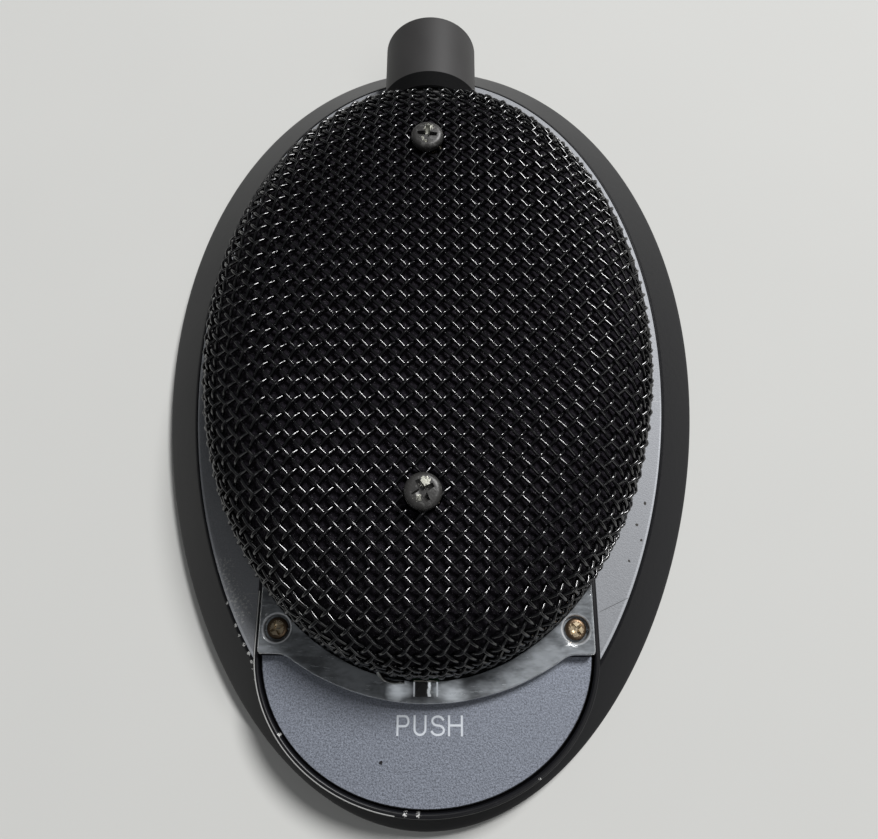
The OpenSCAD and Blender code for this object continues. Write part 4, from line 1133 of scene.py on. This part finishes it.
def cross_screws(name, spots, turns, head_r, head_h, shank_r, grip):
    """Pan head screws with a cross recess and a threaded shank, pointing down."""
    profile = [(0.0, -grip), (shank_r * 0.6, -grip), (shank_r, -grip + shank_r * 0.5)]
    thread = -grip + shank_r
    while thread < -0.5:
        profile += [(shank_r * 0.82, thread), (shank_r, thread + 0.2)]
        thread += 0.4
    profile += [(shank_r, 0.0), (head_r * 0.94, 0.0), (head_r, head_h * 0.1), (head_r, head_h * 0.38)]
    profile += [(head_r * (0.68 + 0.32 * c), head_h * (0.38 + 0.55 * s)) for c, s in quarter(6)[1:]]
    profile.append((0.0, head_h))
    made = []
    for place, turn in zip(spots, turns):
        screw = cut(make_piece(name, *lathe(profile, 48)), cross_recess(head_r, head_h))
        spin = Matrix.Rotation(math.radians(turn), 4, "Z")
        screw.data.transform(Matrix.Translation(Vector(place) * MM) @ spin)
        made.append(screw)
    return merge(name, made)


def cross_recess(head_r, head_h):
    """Tool that cuts a tapered cross into a screw's head."""
    arm, half = head_r * 0.68, head_r * 0.12
    rings = []
    for height, size in ((head_h * 0.32, 0.42), (head_h * 0.62, 0.8), (head_h * 1.3, 1.05)):
        reach, width = arm * size, half * (0.7 + 0.3 * size)
        cross = []
        for quarter in range(4):
            c, s = math.cos(quarter * math.pi / 2), math.sin(quarter * math.pi / 2)
            for x, y in ((reach, -width), (reach, width), (width * 1.5, width * 1.25)):
                cross.append((x * c - y * s, x * s + y * c))
        rings.append(level(cross, height))
    return make_piece("recess", *loft(rings))


class MIC_OT_dome_screws(bpy.types.Operator):
    """Makes the two cross-recess screws that hold the dome"""

    bl_idname = "mic.dome_screws"
    bl_label = "Dome screws"

    def execute(self, context):
        spots = [(0.0, y, dome_top(y) - SEAT_DEPTH) for y in SCREW_Y]
        screws = cross_screws("dome_cap_screws", spots, (28.0, -6.0), 2.95, 1.4, 1.45, 5.0)
        set_material(screws, self.blackened())
        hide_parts("dome_screws")
        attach(screws, "root")
        return {"FINISHED"}

    @staticmethod
    def blackened():
        """Blackened steel, worn grey, with bright places where the driver has slipped."""
        finish = Finish("blackened dome screw")
        fine = finish.noise(0.35, 3.0)
        worn = finish.step(finish.noise(0.8, 4.0, 0.6), 0.5, 0.7)
        slips = [(0.3, y + 1.3, 0.7) for y in SCREW_Y] + [(-0.6, y - 1.0, 0.35) for y in SCREW_Y]
        rubbed = finish.spots(slips, 2.2)
        colour = finish.blend(worn * 0.6, srgb(58, 57, 56), srgb(104, 104, 102))
        colour = finish.blend(rubbed * 0.85, colour, srgb(196, 196, 184))
        return finish.surface(colour, 0.34 + 0.14 * fine, 0.25 + 0.6 * rubbed,
                              finish.bump(fine + 0.6 * worn, 0.02))


class MIC_OT_push_pad(bpy.types.Operator):
    """Finishes the pad's label, its printed word and the elastic pads below it"""

    bl_idname = "mic.push_pad"
    bl_label = "Push pad"

    def execute(self, context):
        sizes = context.scene.mic.pad
        label = nodes["paddle_label"]
        set_material(label, self.grained(sizes))
        modify(label, "WELD", "merge_threshold", 0.001)
        modify(label, "BEVEL", "width", 0.07)
        word = self.word(sizes)
        set_material(word, self.printed(sizes))
        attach(word, "paddle")
        self.elastic_pads()
        return {"FINISHED"}

    @staticmethod
    def grained(sizes):
        """Grained metal with small flakes and one dark speck."""
        finish = Finish("grained label metal")
        grain = finish.step(finish.noise(0.3, 3.0, 0.75), 0.32, 0.68)
        flake = finish.step(finish.noise(0.2, 1.0), 0.5, 0.7)
        broad = finish.noise(11.0, 2.0)
        colour = finish.blend(grain, tinted(sizes.label, 0.62), tinted(sizes.label, 1.3))
        colour = finish.blend(0.4 * flake, colour, tinted(sizes.label, 1.8))
        colour = finish.blend(finish.spots(((-7.2, -67.5, 0.3),), 0.6), colour, srgb(28, 28, 30))
        return finish.surface(colour, 0.4 + 0.2 * grain + 0.05 * broad, 0.4, finish.bump(grain, 0.02))

    @staticmethod
    def printed(sizes):
        """Light ink, slightly mottled."""
        finish = Finish("printed ink")
        fine = finish.noise(0.2, 2.0, 0.7)
        colour = finish.blend(fine, tinted(sizes.ink, 0.85), sizes.ink)
        return finish.surface(colour, 0.4 + 0.1 * fine, 0.0, finish.bump(fine, 0.005))

    @staticmethod
    def word(sizes):
        """The word on the pad, printed in thin raised strokes; letters have a left edge and a width."""
        height = sizes.letter_height / MM
        half = sizes.stroke / MM / 2
        stem, rail, bar = [(0.0, 0.0), (0.0, 1.0)], [(1.0, 0.0), (1.0, 1.0)], [(0.0, 0.52), (1.0, 0.52)]
        bowl = [(0.0, 1.0)] + arc(0.66, 0.73, 0.34, 0.27, 90, -180, 10) + [(0.0, 0.46)]
        cup = [(0.0, 1.0)] + arc(0.5, 0.32, 0.5, 0.32, 180, 180, 12) + [(1.0, 1.0)]
        snake = arc(0.5, 0.755, 0.45, 0.245, 20, 250, 12)
        snake += arc(0.5, 0.255, 0.5, 0.255, 90, -250, 12)[1:]
        letters = ([stem, bowl], [cup], [snake], [stem, rail, bar])
        places = ((-4.78, 2.14), (-1.98, 2.15), (0.83, 2.39), (3.71, 2.45))
        foot = half - sizes.letters_y / MM
        low = corner("paddle_label", True)[2]
        high = low + 0.03
        printed = []
        for (left, letter_w), strokes in zip(places, letters):
            left += half
            parts = []
            for stroke in strokes:
                line = [(left + x * (letter_w - 2 * half), foot + y * (height - 2 * half))
                        for x, y in stroke]
                parts.append(make_piece("letter", *loft(ribbon(line, half, low, high))))
            printed.append(add(parts[0], *parts[1:]))
        return merge("pad_word", printed)

    @staticmethod
    def elastic_pads():
        """Two domed silicone pads that flatten when the pad is pressed."""
        foot_r = 2.4
        x, y, high = corner("return_pads", True)
        x, y = x - foot_r, y - foot_r
        low = BOARD_TOP
        top = high - low
        profile = [(0.0, 0.0), (foot_r, 0.0), (foot_r, 0.25), (2.0, 0.45), (1.55, top * 0.75),
                   (1.35, top - 0.15), (1.15, top), (0.55, top), (0.4, top - 0.12), (0.0, top - 0.15)]
        points, faces = lathe(profile, 40)
        pads = [make_piece("pad", points + np.array([side * x, y, low]), faces) for side in (-1, 1)]
        piece = merge("elastic_pads", pads)
        set_material(piece, moulded("silicone", srgb(96, 98, 102), 0.5, 0.3, 0.01))
        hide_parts("return_pads")
        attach(piece, "root")
        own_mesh(piece)


class MIC_OT_output_connector(bpy.types.Operator):
    """Turns the connector barrel and the rubber band round it"""

    bl_idname = "mic.output_connector"
    bl_label = "Output connector"

    def execute(self, context):
        sizes = context.scene.mic.plug
        barrel = self.barrel(sizes.mouth_radius / MM, BARREL_R - sizes.wall / MM)
        set_material(barrel, self.satin(sizes))
        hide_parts("connector_barrel")
        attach(barrel, "root")
        band = [(BARREL_R + 0.02, BAND_FRONT), (BAND_R - 0.25, BAND_FRONT), (BAND_R, BAND_FRONT + 0.25),
                (BAND_R, BAND_BACK - 0.3), (BAND_R - 0.3, BAND_BACK), (BARREL_R + 0.02, BAND_BACK)]
        grommet = make_piece("barrel_band", *loft([barrel_ring(r, y) for r, y in band], closed=True))
        cut(grommet, block("deck", (-20, 40, 0), (20, 70, DECK + 0.02)))
        set_material(grommet, moulded("band rubber", srgb(9, 9, 10), 0.8, 0.4, 0.02,
                                      Specular_IOR_Level=0.1))
        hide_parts("barrel_grommet")
        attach(grommet, "root")
        return {"FINISHED"}

    @staticmethod
    def barrel(radius, bore):
        """Turned tube with a rounded mouth."""
        profile = [(bore, BARREL_BACK), (BARREL_R - 0.3, BARREL_BACK), (BARREL_R, BARREL_BACK + 0.3)]
        profile += [(BARREL_R - radius * (1 - c), BARREL_MOUTH - radius * (1 - s))
                    for c, s in quarter(6)]
        profile += [(bore + 0.3, BARREL_MOUTH), (bore + 0.05, BARREL_MOUTH - 0.25),
                    (bore, BARREL_MOUTH - 0.5)]
        rings = [barrel_ring(r, y, 160) for r, y in profile]
        return make_piece("barrel_shell", *loft(rings, closed=True))

    @staticmethod
    def satin(sizes):
        """Satin black with fine turning lines."""
        finish = Finish("satin barrel")
        lines = finish.noise(0.5, 3.0, 0.6, finish.stretched(1.0, 7.0, 1.0))
        broad = finish.noise(7.0, 3.0)
        fine = finish.noise(0.12, 2.0)
        colour = finish.blend(broad * 0.5 + fine * 0.5,
                              tinted(sizes.finish, 0.7), tinted(sizes.finish, 1.25))
        return finish.surface(colour, 0.5 + 0.1 * lines + 0.08 * broad, 0.1,
                              finish.bump(lines + fine, 0.006), Specular_IOR_Level=0.3)


class MIC_OT_stage(bpy.types.Operator):
    """Sets the floor, the soft lights and the camera"""

    bl_idname = "mic.stage"
    bl_label = "Stage"

    def execute(self, context):
        sizes = context.scene.mic.stage
        scene = context.scene
        scene.view_settings.view_transform = "Standard"
        half = 900
        square = [(-half, -half), (half, -half), (half, half), (-half, half)]
        floor = make_piece("floor", level(square, 0), [(0, 1, 2, 3)])
        finish = Finish("plain floor")
        broad = finish.noise(40.0, 2.0)
        colour = finish.blend(broad, tinted(sizes.floor, 0.97), tinted(sizes.floor, 1.0))
        set_material(floor, finish.surface(colour, 0.9, 0.0))
        self.lamp("main lamp", (1.0, 1.3, 1.95), 0.8, sizes.lamp)
        self.lamp("fill lamp", (0.9, -1.2, 2.2), 1.2, sizes.lamp * 0.09)
        world = bpy.data.worlds.new("soft sky")
        world.use_nodes = True
        light = world.node_tree.nodes["Background"].inputs
        light["Color"].default_value = (0.94, 0.97, 1.0, 1.0)
        light["Strength"].default_value = sizes.sky
        scene.world = world
        self.camera(scene)
        return {"FINISHED"}

    @staticmethod
    def lamp(name, place, size, power):
        """A round soft lamp that points at the object."""
        data = bpy.data.lights.new(name, "AREA")
        data.shape = "DISK"
        data.size = size
        data.energy = power
        lamp = bpy.data.objects.new(name, data)
        bpy.context.scene.collection.objects.link(lamp)
        lamp.location = place
        lamp.rotation_mode = "QUATERNION"
        lamp.rotation_quaternion = (-Vector(place)).to_track_quat("-Z", "Y")

    @staticmethod
    def camera(scene):
        """Camera at the place and angle from which the object was seen; the picture is 878 wide."""
        tilt, yaw, roll = 0.3099, -0.0169, -0.0012
        place = Vector((4.137, -47.222, 126.991)) * MM
        focal, picture = 663.7, 878
        c, s = math.cos(tilt), math.sin(tilt)
        right, up, back = Vector((1, 0, 0)), Vector((0, c, s)), Vector((0, -s, c))
        c, s = math.cos(yaw), math.sin(yaw)
        right, back = c * right + s * back, c * back - s * right
        c, s = math.cos(roll), math.sin(roll)
        right, up = c * right + s * up, c * up - s * right
        data = bpy.data.cameras.new("camera")
        data.sensor_width = 36
        data.lens = focal / picture * data.sensor_width
        data.clip_start = 0.005
        camera = bpy.data.objects.new("camera", data)
        scene.collection.objects.link(camera)
        turn = Matrix((right, up, back)).transposed()
        camera.matrix_world = Matrix.Translation(place) @ turn.to_4x4()
        scene.camera = camera


class MIC_PT_panel(bpy.types.Panel):
    """Lists the microphone's operators and sizes"""

    bl_idname = "MIC_PT_panel"
    bl_label = "Boundary microphone"
    bl_space_type = "VIEW_3D"
    bl_region_type = "UI"
    bl_category = "Microphone"

    def draw(self, context):
        for operator in OPERATORS:
            self.layout.operator(operator.bl_idname)
        for part in ("base", "mesh", "pad", "guide", "plug", "stage"):
            group = getattr(context.scene.mic, part)
            box = self.layout.box()
            box.label(text=part.capitalize())
            for key in group.__annotations__:
                box.prop(group, key)


OPERATORS = (MIC_OT_paint_inner_parts, MIC_OT_cast_base, MIC_OT_woven_dome, MIC_OT_foam,
             MIC_OT_light_guide, MIC_OT_dome_screws, MIC_OT_push_pad, MIC_OT_output_connector,
             MIC_OT_stage)
GROUPS = (BaseSizes, MeshSizes, PadSizes, GuideSizes, PlugSizes, StageSizes, MicSizes)


def register():
    for kind in GROUPS + OPERATORS + (MIC_PT_panel,):
        bpy.utils.register_class(kind)
    bpy.types.Scene.mic = bpy.props.PointerProperty(type=MicSizes)


def unregister():
    del bpy.types.Scene.mic
    for kind in reversed(GROUPS + OPERATORS + (MIC_PT_panel,)):
        bpy.utils.unregister_class(kind)


def main():
    register()
    for operator in OPERATORS:
        group, name = operator.bl_idname.split(".")
        getattr(getattr(bpy.ops, group), name)()


if __name__ == "__main__":
    main()
